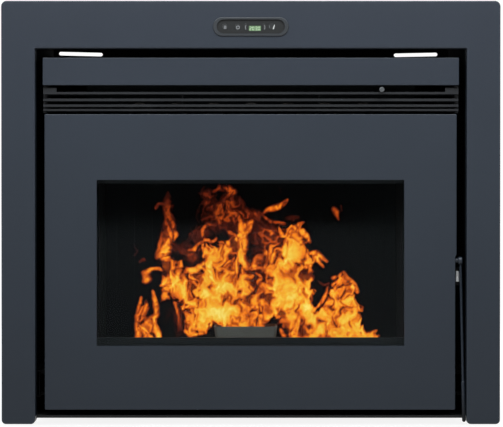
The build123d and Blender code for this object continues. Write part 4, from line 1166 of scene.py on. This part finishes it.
KF, KB = 0.02, 0.22
MZ = BZ - 1.2
b = Build()          # list mark
for dz in (-1.9, 0.0, 1.9):
    b.plate_xz(rounded(-43.3, -38.9, MZ + dz - 0.58, MZ + dz + 0.58, 0.5), KF, KB, 0.04)
b.make("mark_menu", MAT["icon"], "button_menu")
b = Build()          # ring with a stroke
b.plate_xz(arc_band(-20.7, MZ, 1.9, 3.1, 120, 420, 22), KF, KB)
b.plate_xz(rounded(-21.25, -20.15, MZ + 0.3, MZ + 3.7, 0.5), KF, KB, 0.04)
b.make("mark_power", MAT["icon"], "button_power")
b = Build()
b.plate_xz(arc_band(-3.7, MZ, 4.6, 5.6, 140, 220, 10), KF, KB)
b.make("mark_minus", MAT["icon"], "button_minus")
b = Build()
b.plate_xz(arc_band(17.6, MZ, 4.6, 5.6, -40, 40, 10), KF, KB)
b.make("mark_plus", MAT["icon"], "button_plus")
b = Build()          # a leaning stroke
b.plate_xz([(34.9, MZ - 2.7), (36.0, MZ - 3.0), (37.1, MZ - 2.5), (38.3, MZ + 3.8), (37.4, MZ + 4.3), (36.2, MZ + 1.4)], KF, KB)
b.make("mark_mode", MAT["icon_hot"], "button_mode")
b = Build()
b.plate_xz(rounded(29.4, 30.5, MZ - 1.0, MZ + 3.0, 0.5), KF, KB)
b.make("mark_mode_bar", MAT["icon_dim"], "button_mode")


# =====================================================================
# screws
# =====================================================================
def screw(b, p, d, r, h=None):
    """Domed head with a six-sided recess, seated on the point p and facing d."""
    h = h or r * 0.62
    ax = Vector(d).normalized()
    s = ax.orthogonal().normalized()
    w = ax.cross(s)
    c = mmv(p)
    R, H = r / 1000.0, h / 1000.0
    rings = []
    for dd, rad in ((0.0, R), (H * 0.35, R), (H * 0.75, R * 0.86), (H, R * 0.62)):
        rings.append([c + ax * dd + s * (rad * math.cos(math.pi * i / 12)) + w * (rad * math.sin(math.pi * i / 12)) for i in range(24)])
    for dd, rad in ((H, R * 0.50), (H * 0.35, R * 0.48)):
        ring = []
        for i in range(24):
            a = math.pi * i / 12
            k = math.cos(math.pi / 6) / math.cos(((a + math.pi / 6) % (math.pi / 3)) - math.pi / 6)
            ring.append(c + ax * dd + s * (rad * k * math.cos(a)) + w * (rad * k * math.sin(a)))
        rings.append(ring)
    b.rings(rings)


BK, FR = (0, 1, 0), (0, -1, 0)
b = Build()
for x in (-335, -120, 120, 335):
    for z in (24, 622):
        screw(b, (x, 547, z), BK, 3.6)
for x in (-340, 340):
    for z in (170, 320, 470):
        screw(b, (x, 547, z), BK, 3.6)
for u in (80, 300, 500):
    for s in (-1, 1):
        screw(b, (s * 352, u, 622), (s, 0, 0), 3.6)
        screw(b, (s * 352, u, 24), (s, 0, 0), 3.6)
for x in (-300, 0, 300):
    screw(b, (x, 70, 632), (0, 0, 1), 3.6)
    screw(b, (x, 530, 632), (0, 0, 1), 3.6)
b.make("casing_screws", MAT["screw"], "casing", smooth=False)

b = Build()
for u in (60, 280, 480):
    for s in (-1, 1):
        screw(b, (s * 328, u, 575), (s, 0, 0), 3.2)
for x in (-300, -100, 100, 300):
    screw(b, (x, 486, 587), (0, 0, 1), 3.2)
    screw(b, (x, 60, 587), (0, 0, 1), 3.2)
for x, z in ((-315, 300), (-315, 560), (315, 560), (315, 300), (0, 560), (-90, 40)):
    screw(b, (x, 500, z), BK, 3.2)
b.make("body_screws", MAT["screw"], "stove_body", smooth=False)

b = Build()
gx0, gx1, gz0, gz1 = -262.6, 261.5, 110.2, 407
for x in (-170, 0, 170):
    for z0, s in ((gz0, -1), (gz1, 1)):
        screw(b, (x, 20.6, z0 + s * 4.4), BK, 2.6)
for s, x0 in ((-1, gx0), (1, gx1)):
    for z in (190, 330):
        screw(b, (x0 + s * 4.4, 20.6, z), BK, 2.6)
b.make("clip_screws", MAT["screw"], "door", smooth=False)

# =====================================================================
# floor
# =====================================================================
fl = bpy.data.meshes.new("studio_floor")
fl.from_pydata([(-16, -16, 0), (16, -16, 0), (16, 16, 0), (-16, 16, 0)], [], [(0, 1, 2, 3)])
fl.update()
floor = bpy.data.objects.new("studio_floor", fl)
scene.collection.objects.link(floor)
fl.materials.append(mat_floor())
floor.location.z = -0.0005

lit = bpy.data.collections.new("lit_by_key")
for o in scene.objects:
    if o.type == "MESH" and o is not floor:
        lit.objects.link(o)
key_light.light_linking.receiver_collection = lit
